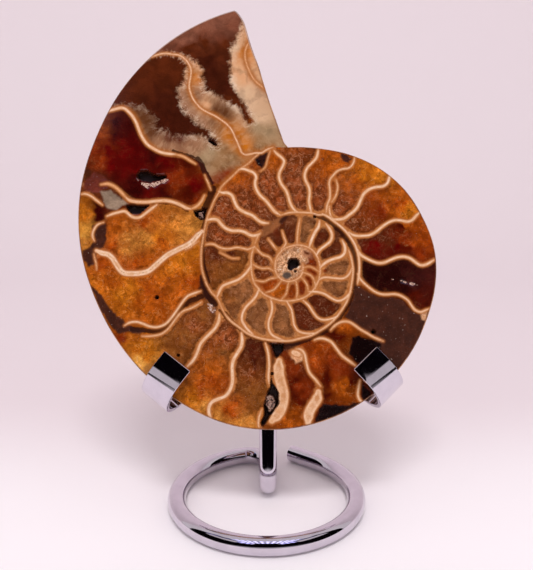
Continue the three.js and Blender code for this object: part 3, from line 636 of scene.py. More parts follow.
# Matrix patches, cavities and crusts, with ragged edges
PIT_DEPTH = 2.4
ragged = (lattice_noise(face_uv, 0.9, 11) - 0.5) * 0.7 + (lattice_noise(face_uv, 2.3, 12) - 0.5) * 0.5
dull, pit, crust = np.zeros((3, face_count))
for name, dullness, spots in PATCHES:
    cover = 1 - smoothstep(near_loop_distance(face_uv, picked(spots), 2) + ragged * 0.8, -0.3, 0.3)
    tint = tint + (linear(name) - tint) * cover[:, None]
    dull = dull + (dullness - dull) * cover
    look = look + (MATRIX_LOOK - look) * cover[:, None]
for spots in PITS:
    far = near_loop_distance(face_uv, picked(spots), 2) + ragged * 0.35
    pit = np.maximum(pit, 1 - smoothstep(far, -0.55, 0.12))
for across, up, radius in HOLES:
    far = np.hypot(face_uv[:, 0] - across, face_uv[:, 1] - up) - radius + ragged * 0.3
    pit = np.maximum(pit, 1 - smoothstep(far, -0.45, 0.12))
for spots in CRUSTS:
    far = near_loop_distance(face_uv, picked(spots), 2) + ragged * 0.9
    crust = np.maximum(crust, 1 - smoothstep(far, -0.25, 0.15))


# Meshes
def mesh_object(name, points, faces, smooth_deg=35):
    mesh = bpy.data.meshes.new(name)
    mesh.from_pydata([tuple(p) for p in points], [], faces)
    mesh.polygons.foreach_set("use_smooth", [True] * len(mesh.polygons))
    mesh.set_sharp_from_angle(angle=math.radians(smooth_deg))
    mesh.update()
    obj = bpy.data.objects.new(name, mesh)
    bpy.context.scene.collection.objects.link(obj)
    return obj


def sleeve(rows, sides, start=0):
    """Faces between rows of points that each go once round."""
    faces = []
    for a in range(start, start + (rows - 1) * sides, sides):
        for k in range(sides):
            m = (k + 1) % sides
            faces.append((a + k, a + m, a + sides + m, a + sides + k))
    return faces


def capped(rows, sides):
    """A sleeve with both ends closed."""
    first, last = tuple(range(sides)), tuple(range((rows - 1) * sides, rows * sides))
    return sleeve(rows, sides) + [first[::-1], last]


# The fossil's mesh
BACK_ROWS = 46
WALL_ROWS = 6
BEVEL_DEPTH = 0.26
LEAST_DEPTH = BEVEL_DEPTH + 0.12
RIB_DEG = 4.2
RIB_HEIGHT = 0.42
SEAM_DEPTH = 0.8
# Each whorl reaches this share of the radius of the next one out
WHORL_SHARE = OUTLINE_RADII[0] / OUTLINE_RADII[-1]
grain = lattice_noise(face_uv, 0.55, 31)
face_depth = pit * PIT_DEPTH * (1 - 0.75 * crust) + crust * 0.5 * grain + dull * 0.12 * grain
face_depth[edge_index] = 0
reach = outline - POLE
reach_size = np.linalg.norm(reach, axis=1)
end_depth = np.maximum(shell_depth(reach_size, depth_radius), LEAST_DEPTH)
turn_deg = np.degrees(np.unwrap(np.arctan2(reach[:, 1], reach[:, 0])))
turn_deg = turn_deg[0] - turn_deg


def rib_furrow(turn, t):
    """Furrows between the ribs, from 0 to 1, bowed along the whorl."""
    bow = 7 * np.sin(math.pi * t) - 5 * t * t
    return 0.5 - 0.5 * np.sin(np.radians((turn + bow) * 360 / RIB_DEG))


def back_row(t):
    """Points of the back at one share of the way from the pole to the rim."""
    depth = np.maximum(shell_depth(reach_size * t, depth_radius), LEAST_DEPTH)
    on_whorl = smoothstep(t, 0.46, 0.58) * (1 - smoothstep(t, 0.9, 0.99))
    on_whorl += 0.6 * smoothstep(t, 0.2, 0.25) * (1 - smoothstep(t, 0.36, 0.42))
    whorl_seam = sum(math.exp(-((t / WHORL_SHARE**k - 1) / 0.05) ** 2) for k in (1, 2))
    depth = depth - RIB_HEIGHT * on_whorl * rib_furrow(turn_deg, t) - SEAM_DEPTH * whorl_seam
    return np.column_stack((POLE + reach * t, depth))


back_rows = []
for s in range(WALL_ROWS):
    back_rows.append(np.column_stack((outline, BEVEL_DEPTH + (end_depth - BEVEL_DEPTH) * s / WALL_ROWS)))
row_share = np.sin(np.linspace(1, 0, BACK_ROWS + 1) * math.pi / 2)[:-1]
back_rows += [back_row(t) for t in row_share]
back_points = np.vstack(back_rows + [np.array([[*POLE, POLE_DEPTH]])])
fossil_points = np.vstack((np.column_stack((face_uv, face_depth)), back_points))
fossil_faces = [tuple(int(i) for i in t) for t in face_tris]
front_faces = len(fossil_faces)
for i, j in ring:
    fossil_faces.append((int(edge_index[i]), int(edge_index[j]), face_count + j, face_count + i))
fossil_faces += sleeve(len(back_rows), outline_count, face_count)
pole_point = len(fossil_points) - 1
last_row = pole_point - outline_count
fossil_faces += [(last_row + i, last_row + j, pole_point) for i, j in ring]
fossil = mesh_object("ammonite_stone", place(fossil_points), fossil_faces)


def add_float(name, values, start=0, fill=0.0):
    full = np.full(len(fossil_points), fill, np.float32)
    full[start:start + len(values)] = values
    fossil.data.attributes.new(name, "FLOAT", "POINT").data.foreach_set("value", full)


def add_colour(name, values):
    full = np.ones((len(fossil_points), 4), np.float32)
    full[:len(values), :3] = values
    fossil.data.attributes.new(name, "FLOAT_COLOR", "POINT").data.foreach_set("color", full.ravel())


for name, values in (
    ("septum", septum), ("tone", tone), ("along", along), ("seam", seam), ("edge", edge_distance),
    ("groove", groove), ("glow", glow), ("margin", look[:, 3]), ("druse", druse), ("dull", dull),
    ("pit", pit), ("crust", crust),
):
    add_float(name, values)
for name, values in (("tint", tint), ("veil", veil), ("look", look[:, :3])):
    add_colour(name, values)
spot = fossil.data.attributes.new("face", "FLOAT_VECTOR", "POINT")
spot.data.foreach_set("vector", fossil_points.astype(np.float32).ravel())

# Sutures on the back: folded lines where the chamber walls meet the shell
SUTURE_TURNS = [8, 24, 40, 55, 71, 88, 103, 121, 140, 158, 176, 195, 213, 229, 247, 268, 290, 315]
NO_SUTURE = 30.0
back_t = np.append(np.repeat([1.0] * WALL_ROWS + list(row_share), outline_count), 0.0)
back_turn = np.append(np.tile(turn_deg, len(back_rows)), 0.0)
back_radius = np.linalg.norm(back_points[:, :2] - POLE, axis=1)
fold = 5 * np.sin(back_t * 9.5) + 2.6 * np.sin(back_t * 31 + 1) + 1.5 * np.sin(back_t * 74)
suture = np.full(len(back_points), NO_SUTURE)
for turn in SUTURE_TURNS:
    suture = np.minimum(suture, np.abs(np.radians(back_turn + fold - turn)) * back_radius)
# Painted shade along the furrows between the ribs, on top of the furrows cut into the mesh
furrow_shade = rib_furrow(back_turn, back_t) * smoothstep(back_t, 0.2, 0.25) * (1 - smoothstep(back_t, 0.9, 0.99))
add_float("suture", suture, face_count, NO_SUTURE)
add_float("rib", furrow_shade, face_count)
add_float("share", back_t, face_count)
side = np.zeros(len(fossil_faces), np.int32)
side[front_faces:] = 1
fossil.data.polygons.foreach_set("material_index", side)


# Materials
class Graph:
    """Short ways to add shader nodes; a number or colour name may stand where a socket is asked for."""

    def __init__(self, name):
        self.material = bpy.data.materials.new(name)
        self.material.use_nodes = True
        self.tree = self.material.node_tree
        self.shader = self.tree.nodes["Principled BSDF"]

    def put(self, socket, value):
        if isinstance(value, str):
            value = linear(value)
        if isinstance(value, bpy.types.NodeSocket):
            self.tree.links.new(value, socket)
        elif isinstance(value, (tuple, np.ndarray)):
            socket.default_value = tuple(value) if len(value) == len(socket.default_value) else (*value, 1)
        else:
            socket.default_value = value

    def set(self, name, value):
        self.put(self.shader.inputs[name], value)

    def node(self, kind, inputs, output=0, **settings):
        """A new node; gives one of its outputs, or all of them where output is None."""
        node = self.tree.nodes.new("ShaderNode" + kind)
        for key, value in settings.items():
            setattr(node, key, value)
        for key, value in inputs.items():
            self.put(node.inputs[key], value)
        return node.outputs if output is None else node.outputs[output]

    def attribute(self, name, output="Fac"):
        return self.node("Attribute", {}, output, attribute_name=name)

    def object_place(self):
        return self.node("TexCoord", {}, "Object")

    def math(self, kind, a, b=0.0):
        return self.node("Math", {0: a, 1: b}, operation=kind)

    def add(self, a, b):
        return self.math("ADD", a, b)

    def times(self, first, *others):
        for other in others:
            first = self.math("MULTIPLY", first, other)
        return first

    def sway(self, noise, size):
        """Noise about zero."""
        return self.times(self.add(noise, -0.5), size)

    def mix(self, share, a, b, kind="MIX"):
        return self.node("Mix", {0: share, 6: a, 7: b}, 2, data_type="RGBA", blend_type=kind)

    def coat(self, colour, tint, *shares):
        """A colour covered with a tint as far as the product of the shares."""
        return self.mix(self.times(*shares), colour, tint)

    def step(self, value, lo, hi, out_lo=0.0, out_hi=1.0):
        inputs = dict(enumerate((value, lo, hi, out_lo, out_hi)))
        return self.node("MapRange", inputs, interpolation_type="SMOOTHSTEP")

    def near(self, value, middle, full, none):
        """One where a value is close to the middle, fading to zero."""
        return self.step(self.math("ABSOLUTE", self.add(value, -middle)), none, full)

    def noise(self, vector, scale, detail=3.0, rough=0.55, warp=0.0):
        inputs = {"Vector": vector, "Scale": scale, "Detail": detail, "Roughness": rough, "Distortion": warp}
        return self.node("TexNoise", inputs)

    def cells(self, vector, scale):
        return self.node("TexVoronoi", {"Vector": vector, "Scale": scale}, None)

    def split(self, colour):
        return self.node("SeparateColor", {0: colour}, None)

    def split_xyz(self, vector):
        return self.node("SeparateXYZ", {0: vector}, None)

    def vector(self, x, y, z=0.0):
        return self.node("CombineXYZ", {0: x, 1: y, 2: z})

    def bent(self, vector, scale, amount):
        """The same place pushed about by noise."""
        push = self.node("TexNoise", {"Vector": vector, "Scale": scale}, "Color")
        return self.node("VectorMath", {0: push, 1: (amount,) * 3, 2: vector}, operation="MULTIPLY_ADD")

    def bump(self, height, strength, distance):
        return self.node("Bump", {"Height": height, "Strength": strength, "Distance": distance})


def face_material():
    g = Graph("polished_face")
    at = g.attribute("face", "Vector")
    wall_far = g.attribute("septum")
    dullness = g.attribute("dull")
    base = g.attribute("tint", "Color")
    cloudy, wormy, faceted = g.split(g.attribute("look", "Color"))[:3]
    fine = g.noise(at, 3.1, 3, 0.6)
    mid = g.noise(at, 0.75, 5, 0.62, 0.6)
    wide = g.noise(at, 0.26, 4, 0.6, 0.4)

    def shade(red, green, blue):
        """The filling's own colour, darker or lighter."""
        return g.mix(1.0, base, (red, green, blue), "MULTIPLY")

    # Clouded mineral filling
    colour = g.coat(base, shade(0.36, 0.28, 0.22), g.step(mid, 0.52, 0.3), cloudy, 0.8)
    colour = g.coat(colour, shade(1.6, 1.68, 1.9), g.step(mid, 0.53, 0.7), cloudy, 0.75)

    # Crystal facets; domes with painted shade round their edges and a painted highlight at their middles;
    # cracks, and sugary grains at the centre
    bent = g.bent(at, 0.8, 1.1)
    big = g.split(g.cells(bent, 0.42)["Color"])[0]
    small = g.split(g.cells(bent, 1.2)["Color"])[1]
    facet = g.add(g.sway(big, 0.5), g.sway(small, 0.42))
    bright = g.add(1.0, g.times(facet, faceted))
    bright = g.times(bright, g.step(fine, 0.25, 0.75, 0.82, 1.18), g.step(wide, 0.35, 0.68, 0.78, 1.22))
    colour = g.mix(1.0, colour, g.vector(bright, bright, bright), "MULTIPLY")
    dome = g.cells(bent, 0.3)["Distance"]
    # Painted shade round the edges of each crystal dome
    colour = g.coat(colour, shade(0.6, 0.48, 0.42), g.step(dome, 0.4, 0.85), faceted, 0.6)
    # Painted highlight at the middle of each crystal dome
    colour = g.coat(colour, shade(1.35, 1.5, 1.8), g.step(dome, 0.36, 0.08), faceted, 0.4)
    crack = g.noise(at, 0.4, 5, 0.6, 0.9)
    broken = g.times(g.step(wide, 0.42, 0.58), faceted)
    colour = g.coat(colour, "5a2206", g.near(crack, 0.47, 0.004, 0.02), faceted, 0.5)
    colour = g.coat(colour, "eabf78", g.near(crack, 0.54, 0.003, 0.013), broken, 0.25)
    sugary = g.step(g.split(base)[1], 0.28, 0.36)
    grains = g.noise(at, 1.25, 4, 0.75)
    colour = g.coat(colour, "7a4420", g.step(grains, 0.52, 0.4), sugary, 0.75)
    colour = g.coat(colour, "fbeed8", g.step(grains, 0.54, 0.66), sugary, 0.8)

    # Pale and dark squiggles
    curl = g.noise(at, 0.52, 3, 0.5, 1.1)
    curl_fine = g.noise(at, 1.7, 2, 0.5, 0.8)
    here_and_there = g.times(g.step(g.noise(at, 0.5, 2, 0.5), 0.4, 0.55), wormy)
    colour = g.coat(colour, "481c08", g.near(curl, 0.42, 0.02, 0.075), wormy, 0.7)
    colour = g.coat(colour, "b98562", g.near(curl, 0.52, 0.008, 0.04), here_and_there, 0.55)
    colour = g.coat(colour, "5a2a10", g.near(curl_fine, 0.42, 0.01, 0.05), wormy, 0.5)
    colour = g.coat(colour, "b07a54", g.near(curl_fine, 0.5, 0.01, 0.04), here_and_there, 0.3)

    # Orange margin beside the chamber walls
    warmth = g.attribute("margin")
    glow = g.add(g.attribute("glow"), g.sway(mid, 0.6))
    glow = g.add(glow, g.step(warmth, 1.0, 1.6, 0.0, 0.16))
    dark_rim = g.math("MINIMUM", g.times(warmth, 0.42), 0.5)
    colour = g.coat(colour, "3c1a08", g.near(glow, 0.32, 0.0, 0.28), dark_rim)
    margin_tone = g.mix(g.step(mid, 0.3, 0.7), "a05a26", "c4864e")
    colour = g.coat(colour, margin_tone, g.step(glow, 0.36, 0.9), g.math("MINIMUM", warmth, 0.92))
    fleck = g.step(g.noise(at, 2.3, 2, 0.5), 0.69, 0.76)
    colour = g.coat(colour, "ead0b2", fleck, g.add(wormy, faceted), 0.28)

    # Druse of pale crystals round two dark cores
    comb_along = g.add(g.times(g.attribute("along"), 0.95), g.sway(mid, 2.4))
    comb = g.noise(g.vector(comb_along, g.times(wall_far, 0.3)), 1.0, 4, 0.62)
    veil = g.attribute("veil", "Color")
    shine = g.step(g.split(veil)[1], 0.02, 0.13, 0.3, 1.0)
    teeth = g.add(g.sway(comb, 2.8), g.sway(fine, 0.9))
    druse_edge = g.add(g.attribute("druse"), g.add(teeth, g.sway(mid, 3.0)))
    druse_colour = g.mix(g.step(wide, 0.54, 0.34, 0.0, 0.32), veil, "4a2812")
    druse_colour = g.mix(g.step(wall_far, 1.5, 0.2, 0.0, 0.7), druse_colour, "9c5a24")
    comb_light = g.step(comb, 0.42, 0.66)
    tips = g.times(g.step(druse_edge, 2.3, 0.3), g.math("MAXIMUM", comb_light, g.step(fine, 0.5, 0.72)))
    druse_colour = g.coat(druse_colour, "ddc8b2", tips, g.step(wide, 0.4, 0.6, 0.2, 0.8), shine)
    druse_colour = g.coat(druse_colour, "d8b890", comb_light, shine, 0.2)
    druse_mask = g.step(druse_edge, -0.9, 0.9)
    colour = g.mix(druse_mask, colour, druse_colour)

    # Dull matrix with flecks
    grit = g.step(g.noise(at, 2.2, 4, 0.75), 0.6, 0.72)
    colour = g.coat(colour, "8a6c62", grit, dullness, 0.4)
    grit = g.step(g.noise(at, 1.6, 2, 0.5), 0.7, 0.75)
    colour = g.coat(colour, "d8c4b8", grit, dullness, 0.8)

    # Dark seams, then the chamber walls on top
    seam_far = g.add(g.attribute("seam"), g.sway(mid, 0.9))
    colour = g.coat(colour, "2e1209", g.step(seam_far, 0.14, -0.16), 0.88)
    rough_far = g.add(wall_far, g.add(g.sway(fine, 0.16), g.sway(mid, 0.34)))
    colour = g.coat(colour, "9a5424", g.step(rough_far, 0.75, 0.05), 0.5)
    colour = g.coat(colour, "bf8252", g.step(rough_far, 0.3, -0.04), 0.85)
    cream = g.mix(g.step(mid, 0.35, 0.65), "d9ae8a", "ecd2b8")
    warm = g.mix(g.step(fine, 0.3, 0.7), "c47c42", "dda26a")
    wall_colour = g.mix(g.attribute("tone"), cream, warm)
    broad = g.step(rough_far, -0.35, -1.0)
    wall_colour = g.coat(wall_colour, "b87c4c", broad, g.step(wide, 0.4, 0.6, 0.25, 0.8))
    colour = g.mix(g.step(rough_far, 0.03, -0.22), colour, wall_colour)
    groove_mask = g.step(g.attribute("groove"), 0.12, 0.03)
    colour = g.coat(colour, "5a260e", groove_mask, g.step(mid, 0.38, 0.52), 0.7)

    # Crystal crusts, and painted shade darkening the cavities
    sugar = g.noise(at, 2.6, 4, 0.7)
    crust_share = g.times(g.attribute("crust"), g.step(g.noise(at, 1.5, 2, 0.5), 0.36, 0.5))
    crust_tone = g.mix(g.step(sugar, 0.35, 0.62), "74462e", "d8b8a6")
    colour = g.mix(g.step(crust_share, 0.3, 0.7), colour, crust_tone)
    sunken = g.attribute("pit")
    pit_shade_share = g.times(sunken, g.math("SUBTRACT", 1.0, g.times(crust_share, 0.85)))
    # Painted shade: the cavities go dark brown, then near black where they are deepest
    colour = g.coat(colour, "4a2010", g.step(pit_shade_share, 0.02, 0.25), 0.7)
    colour = g.mix(g.step(pit_shade_share, 0.25, 0.7), colour, "22100a")

    # Edge of the stone: a darker brown rim all round, and a painted highlight along the edge near the tip
    edge_far = g.attribute("edge")
    colour = g.coat(colour, "5a2c14", g.step(edge_far, 0.6, 0.18), 0.5)
    high = g.step(g.split_xyz(at)[1], 97.0, 106.0)
    # Painted highlight: pale line along the edge of the upper face near the tip
    colour = g.coat(colour, "d8c8c0", g.step(edge_far, 0.5, 0.15), high, 0.8)
    g.set("Base Color", colour)
    rough = g.add(g.step(fine, 0.2, 0.8, 0.06, 0.1), g.times(dullness, 0.25))
    g.set("Roughness", g.add(rough, g.times(sunken, 0.3)))
    g.set("IOR", 1.54)
    g.set("Specular IOR Level", g.step(dullness, 0.0, 1.0, 0.36, 0.18))
    height = g.add(g.times(dullness, fine), g.times(druse_mask, tips, 0.2))
    height = g.add(height, g.times(crust_share, sugar, 2.0))
    g.set("Normal", g.bump(height, 0.3, 0.00012))
    return g.material


def back_material():
    g = Graph("shell_back")
    at = g.attribute("face", "Vector")
    share = g.attribute("share")
    cloud = g.noise(at, 0.11, 5, 0.6, 0.8)
    fine = g.noise(at, 1.1, 4, 0.6)
    colour = g.mix(g.step(cloud, 0.35, 0.65), "6b3a1c", "b98252")
    colour = g.coat(colour, "d8b083", g.step(fine, 0.45, 0.7), 0.35)
    patch = g.step(g.noise(at, 0.06, 3, 0.5, 0.5), 0.55, 0.7)
    colour = g.coat(colour, "3a1c10", patch, 0.6)
    line = g.step(g.add(g.attribute("suture"), g.sway(fine, 0.4)), 0.42, 0.16)
    line = g.times(line, g.step(share, 0.46, 0.52))
    for whorl in (WHORL_SHARE, WHORL_SHARE**2):
        whorl_seam = g.near(g.add(share, g.sway(fine, 0.02)), whorl, 0.02 * whorl, 0.07 * whorl)
        line = g.math("MAXIMUM", line, whorl_seam)
    # Painted shade in the furrows between the ribs
    colour = g.coat(colour, "4a2614", g.attribute("rib"), 0.45)
    colour = g.coat(colour, "2a1209", line, 0.75)
    g.set("Base Color", colour)
    g.set("Roughness", g.step(fine, 0.2, 0.8, 0.22, 0.38))
    g.set("IOR", 1.53)
    g.set("Normal", g.bump(g.add(fine, g.times(line, -1.5)), 0.25, 0.00015))
    return g.material


def chrome_material():
    g = Graph("chrome")
    at = g.object_place()
    cloud = g.noise(at, 260.0, 3, 0.6)
    fine = g.noise(at, 1400.0, 2, 0.5)
    g.set("Base Color", g.mix(g.step(cloud, 0.3, 0.7), (0.62, 0.57, 0.64), (0.68, 0.63, 0.70)))
    g.set("Metallic", 1.0)
    g.set("Roughness", g.step(fine, 0.2, 0.8, 0.035, 0.075))
    g.set("Normal", g.bump(cloud, 0.05, 0.0001))
    return g.material


fossil.data.materials.append(face_material())
fossil.data.materials.append(back_material())
chrome = chrome_material()
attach(fossil, "root")
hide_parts("ammonite_half")

# The stand
BAR_RADIUS = 2.5
RING_RADIUS = 25.0
RING_DEPTH_SHARE = 1.05
RING_MIDDLE_Y = 0.5
RING_TAIL_TURN = math.radians(52)
RING_TAIL_LENGTH = 10.0
INWARD_BEND = 6.0
STEM_X = 0.4
ELBOW_Y = 7.7
ELBOW = 5.5
STEM_PAST_STRAPS = 4.0
STRAP_WIDTH = 8.8
STRAP_THICKNESS = 1.1
LIP_FRONT = 3.2
HOOK_REACH = 12.2
HOOK_RADIUS = 7.4
STRAP_SLOPE = math.radians(5)
STRAP_TURN = math.radians(9.5)
LEFT_LIP_END = np.array((-22.9, 17.5))
LEFT_WAY = np.array((-0.612, -0.791))
RIGHT_LIP_END = np.array((25.4, 18.3))
RIGHT_WAY = np.array((0.692, -0.722))
STRAP_APEX_V = 41.2
GAP = 0.3
STRAP_SOFT = 0.16
BAR_INSET = 0.01
hook_start = HOOK_REACH - STRAP_THICKNESS / 2 - HOOK_RADIUS
hook_centre = -HOOK_RADIUS


def arc(centre, to_start, to_quarter, sweep, steps):
    a = np.linspace(0, sweep, steps)[:, None]
    return np.asarray(centre) + np.cos(a) * np.asarray(to_start) + np.sin(a) * np.asarray(to_quarter)


def bar_path():
    z = BAR_RADIUS
    ix = STEM_X - INWARD_BEND
    iy = math.sqrt((RING_RADIUS - INWARD_BEND) ** 2 - ix**2)
    start = math.atan2(iy, ix)

    def flat_arc(x, y, radius, first, sweep, steps):
        c, s = math.cos(first), math.sin(first)
        centre = (x, RING_MIDDLE_Y + RING_DEPTH_SHARE * y, z)
        to_start = (radius * c, RING_DEPTH_SHARE * radius * s, 0)
        to_quarter = (radius * s, -RING_DEPTH_SHARE * radius * c, 0)
        return arc(centre, to_start, to_quarter, sweep, steps)

    ring_line = flat_arc(0, 0, RING_RADIUS, RING_TAIL_TURN, RING_TAIL_TURN + 2 * math.pi - start, 190)
    inward_line = flat_arc(ix, iy, INWARD_BEND, start, start, 40)
    tail_way = np.array((-math.sin(RING_TAIL_TURN), RING_DEPTH_SHARE * math.cos(RING_TAIL_TURN), 0))
    tail_end = ring_line[0] + tail_way / np.linalg.norm(tail_way) * RING_TAIL_LENGTH
    elbow = np.array((STEM_X, ELBOW_Y, z + ELBOW))
    foot = elbow + ELBOW * np.array((0, -math.cos(FACE_LEAN), math.sin(FACE_LEAN)))
    way = np.array((0, math.sin(FACE_LEAN), math.cos(FACE_LEAN)))
    top = foot + way * (STRAP_APEX_V + STEM_PAST_STRAPS - (foot - np.array(FACE_FOOT)) @ way)
    parts = [
        np.linspace(tail_end, ring_line[0], 14),
        ring_line,
        inward_line,
        np.linspace(inward_line[-1], (STEM_X, ELBOW_Y, z), 12),
        arc(elbow, (0, 0, -ELBOW), (0, -ELBOW, 0), math.pi / 2 + FACE_LEAN, 40),
        np.linspace(foot, top, 40),
    ]
    return np.vstack([parts[0]] + [p[1:] for p in parts[1:]])


def tube(name, path, radius, sides=32, chamfer=0.3):
    """Round bar along a path, with chamfered ends."""
    tang = np.gradient(path, axis=0)
    tang /= np.linalg.norm(tang, axis=1)[:, None]
    normal = np.array((0.0, 0.0, 1.0))
    rings = []
    angles = np.linspace(0, 2 * math.pi, sides, endpoint=False)
    stations = [(path[0], tang[0], radius - chamfer)]
    stations.append((path[0] + tang[0] * chamfer, tang[0], radius))
    stations += [(p, t, radius) for p, t in zip(path[1:-1], tang[1:-1])]
    stations.append((path[-1] - tang[-1] * chamfer, tang[-1], radius))
    stations.append((path[-1], tang[-1], radius - chamfer))
    for p, t, r in stations:
        normal = normal - t * (normal @ t)
        normal /= np.linalg.norm(normal)
        other = np.cross(t, normal)
        rings.append(p + r * (np.cos(angles)[:, None] * normal + np.sin(angles)[:, None] * other))
    points = np.vstack(rings) + np.array((*RING_CENTRE, 0))
    return mesh_object(name, points * MM, capped(len(rings), sides))


def strap(name, lip_end, way, side):
    """Flat strip with softened edges: lip on the face, hook round the rim, run to the stem."""
    soft, half_w, half_t = STRAP_SOFT, STRAP_WIDTH / 2, STRAP_THICKNESS / 2
    section = []
    for cx, cz, a0 in ((1, 1, 0), (-1, 1, 90), (-1, -1, 180), (1, -1, 270)):
        for a in np.radians(np.linspace(a0, a0 + 90, 6)):
            x = cx * (half_w - soft) + soft * math.cos(a)
            section.append((x, cz * (half_t - soft) + soft * math.sin(a)))
    section = np.array(section)
    line = [((x, 0.0), (0.0, 1.0)) for x in np.linspace(0, hook_start, 8)]
    for a in np.linspace(math.pi / 2, -math.pi / 2 + STRAP_SLOPE, 56)[1:]:
        out = (math.cos(a), math.sin(a))
        line.append(((hook_start + HOOK_RADIUS * out[0], hook_centre + HOOK_RADIUS * out[1]), out))
    run = np.array((-math.cos(STRAP_SLOPE), -math.sin(STRAP_SLOPE)))
    back = np.array(line[-1][0])
    way = way / np.linalg.norm(way)
    across = np.array((way[1], -way[0]))
    stop = STEM_X + side * GAP / 2
    points, sides = [], len(section)
    turn_cos, turn_sin = math.cos(STRAP_TURN), math.sin(STRAP_TURN)

    def lay(x, z, offset):
        turned = offset * turn_cos - side * z * turn_sin
        front = LIP_FRONT + side * offset * turn_sin + z * turn_cos
        return np.array((*(lip_end + way * x + across * turned), -front))

    first = section * np.array((1 - soft / half_w, 1 - soft / half_t))
    for k, ((x, z), out) in enumerate(line):
        shape = first if k == 0 else section
        if k == 1:
            x = soft
        for a, b in shape:
            points.append(lay(x + out[0] * b, z + out[1] * b, a))
    out = np.array(line[-1][1])
    for part in np.linspace(0, 1, 10)[1:]:
        for a, b in section:
            p0 = lay(*(back + out * b), a)
            p1 = lay(*(back + out * b + run), a)
            t = (stop - p0[0]) / (p1[0] - p0[0])
            points.append(p0 + (p1 - p0) * t * part)
    return mesh_object(name, place(np.array(points)), capped(len(points) // sides, sides), 30)


rod = tube("bent_bar", bar_path(), BAR_RADIUS - BAR_INSET)
left_strap = strap("left_strap", LEFT_LIP_END, LEFT_WAY, -1)
right_strap = strap("right_strap", RIGHT_LIP_END, RIGHT_WAY, 1)
for piece, node in ((rod, "stand_rod"), (left_strap, "left_hook_strap"), (right_strap, "right_hook_strap")):
    piece.data.materials.append(chrome)
    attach(piece, "root")
    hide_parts(node)
for node, obj in frame["nodes"].items():
    obj.data.materials.clear()
    obj.data.materials.append(fossil.data.materials[0] if node == "ammonite_half" else chrome)


# Stage, light and camera, in metres
FLOOR_FRONT = -1.6
FLOOR_BACK = 0.28
BEND_RADIUS = 0.35
WALL_TOP = 1.6
STAGE_HALF_WIDTH = 2.2
DARK_CARD_RADIUS = 1.1
DARK_CARD_STEPS = 40
DARK_CARD_ROWS = 4
HOOK_CARD_HALF_WIDTH = 0.022
CARD_GLOW = 0.6
PALE_LIGHT = (1.0, 0.93, 0.96)


def backdrop():
    points, faces = [], []
    profile = [(FLOOR_FRONT, 0.0), (FLOOR_BACK, 0.0)]
    for a in np.radians(np.linspace(0, 90, 13)[1:]):
        profile.append((FLOOR_BACK + BEND_RADIUS * math.sin(a), BEND_RADIUS - BEND_RADIUS * math.cos(a)))
    profile.append((FLOOR_BACK + BEND_RADIUS, WALL_TOP))
    for y, z in profile:
        points += [(-STAGE_HALF_WIDTH, y, z), (STAGE_HALF_WIDTH, y, z)]
    for i in range(len(profile) - 1):
        faces.append((2 * i, 2 * i + 1, 2 * i + 3, 2 * i + 2))
    obj = mesh_object("backdrop", np.array(points), faces, 60)
    g = Graph("pale_backdrop")
    at = g.object_place()
    cloud = g.noise(at, 3.0, 2, 0.5)
    # Painted shade: the sweep goes from a whiter floor in front to a darker colour behind and up the wall
    far = g.step(g.add(g.split_xyz(at)[1], g.times(cloud, 0.02)), 0.0, 0.09)
    g.set("Base Color", g.mix(far, (0.96, 0.92, 0.95), (0.83, 0.745, 0.78)))
    g.set("Roughness", 0.7)
    g.set("Specular IOR Level", 0.2)
    obj.data.materials.append(g.material)


def reflected_card(name, points, faces):
    """Card seen only in reflections; gives its shader and the place on it."""
    obj = mesh_object(name, np.array(points), faces, 60)
    obj.visible_camera = False
    obj.visible_diffuse = False
    obj.visible_shadow = False
    g = Graph(name)
    g.set("Base Color", (0.002, 0.001, 0.002))
    g.set("Specular IOR Level", 0.0)
    obj.data.materials.append(g.material)
    return g, g.split_xyz(g.object_place())


def ribbed(g, across):
    """Window with upright bars, dim at its ends: strength across it."""
    bars = g.step(g.math("SINE", g.times(across, 50.0)), -0.4, 0.5, 0.6, 2.6)
    return g.times(bars, g.step(g.math("ABSOLUTE", across), 0.85, 0.6, 0.12, 1.0))


def dark_card():
    """Dark room in front, paler near the floor, with a bluish ribbed window high on either side."""
    points, faces = [], []
    r, up = DARK_CARD_RADIUS, DARK_CARD_ROWS + 1
    for a in np.radians(np.linspace(-90, 90, DARK_CARD_STEPS + 1)):
        for e in np.radians(np.linspace(-3, 58, up)):
            points.append((r * math.sin(a), -r * math.cos(a), 0.07 + r * math.tan(e)))
    for i in range(DARK_CARD_STEPS):
        for p in range(up * i, up * i + DARK_CARD_ROWS):
            faces.append((p, p + up, p + up + 1, p + 1))
    g, (across, _, height) = reflected_card("dark_card", points, faces)
    cloud = g.noise(g.vector(across, height), 3.0, 2, 0.5)
    off = g.math("ABSOLUTE", across)
    bowed = g.add(height, g.times(across, across, 0.3))
    lit = g.step(g.add(bowed, g.sway(cloud, 0.1)), 0.36, 0.08)
    blue = g.times(g.step(off, 0.28, 0.4), g.step(height, 1.0, 1.12))
    g.set("Emission Color", g.mix(blue, PALE_LIGHT, (0.5, 0.5, 1.0)))
    window = g.times(blue, ribbed(g, across))
    g.set("Emission Strength", g.math("MAXIMUM", g.times(lit, CARD_GLOW), window))


def canopy():
    """The same window over the front, seen in the ring."""
    points = [(-1.7, -1.05, 1.6), (1.7, -1.05, 1.6), (1.7, -0.25, 1.6), (-1.7, -0.25, 1.6)]
    g, (across, _, _) = reflected_card("canopy", points, [(0, 1, 2, 3)])
    g.set("Emission Color", (0.68, 0.68, 1.0))
    g.set("Emission Strength", ribbed(g, across))


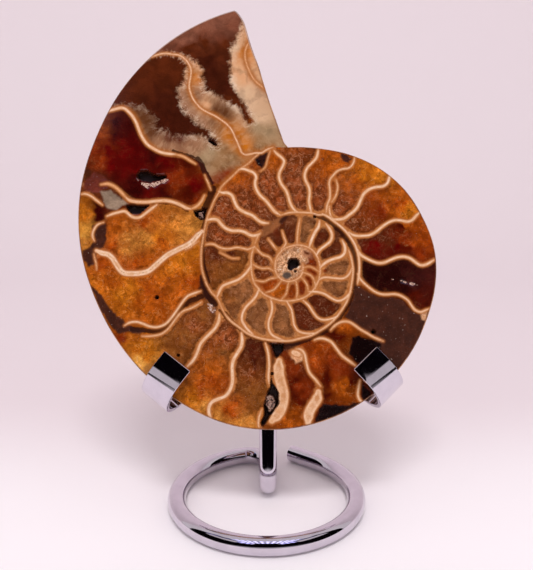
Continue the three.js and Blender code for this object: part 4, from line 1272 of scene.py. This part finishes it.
def hook_card(name, x, y, low, high):
    """Pale card close by, seen in the lower half of one hook."""
    share = HOOK_CARD_HALF_WIDTH / math.hypot(x, y)
    across, along = share * y, -share * x
    points = [(x - across, y - along, low), (x + across, y + along, low)]
    points += [(x + across, y + along, high), (x - across, y - along, high)]
    g, (_, _, height) = reflected_card(name, points, [(0, 1, 2, 3)])
    g.set("Emission Color", PALE_LIGHT)
    g.set("Emission Strength", g.step(height, high, high - 0.005, 0.0, CARD_GLOW))


def area_light(name, spot, aim, size, power, colour):
    data = bpy.data.lights.new(name, "AREA")
    data.shape = "RECTANGLE"
    data.size, data.size_y = size
    data.energy = power
    data.color = colour
    obj = bpy.data.objects.new(name, data)
    obj.location = spot
    obj.rotation_euler = (Vector(aim) - Vector(spot)).to_track_quat("-Z", "Y").to_euler()
    obj.visible_camera = False
    obj.visible_glossy = False
    bpy.context.scene.collection.objects.link(obj)


backdrop()
dark_card()
canopy()
hook_card("left_hook_card", -0.051, -0.052, 0.045, 0.071)
hook_card("right_hook_card", 0.0595, -0.051, 0.047, 0.077)
area_light("overhead", (0.0, -0.6, 1.04), (0, 0, 0.05), (0.4, 0.2), 5.4, (1, 0.97, 0.98))
for name, way in (("fill_left", -1), ("fill_right", 1)):
    area_light(name, (way * 0.6, -0.75, 0.45), (0, 0, 0.07), (0.5, 0.5), 0.6, (1, 0.97, 0.96))

world = bpy.data.worlds.new("pale_room")
world.use_nodes = True
ground = world.node_tree.nodes["Background"]
ground.inputs["Color"].default_value = (1.0, 0.94, 0.955, 1)
ground.inputs["Strength"].default_value = 0.68
bpy.context.scene.world = world
bpy.context.scene.view_settings.view_transform = "Standard"

SENSOR_WIDTH = 36
camera_data = bpy.data.cameras.new("camera")
camera_data.sensor_width = SENSOR_WIDTH
camera_data.lens = FOCAL_PIXELS * SENSOR_WIDTH / max(IMAGE_SIZE)
camera_data.clip_start = 0.005
camera = bpy.data.objects.new("camera", camera_data)
camera.location = (CAMERA_PLACE + np.array((*RING_CENTRE, 0))) * MM
camera.rotation_euler = (math.pi / 2 - CAMERA_DOWN, 0, 0)
bpy.context.scene.collection.objects.link(camera)
bpy.context.scene.camera = camera
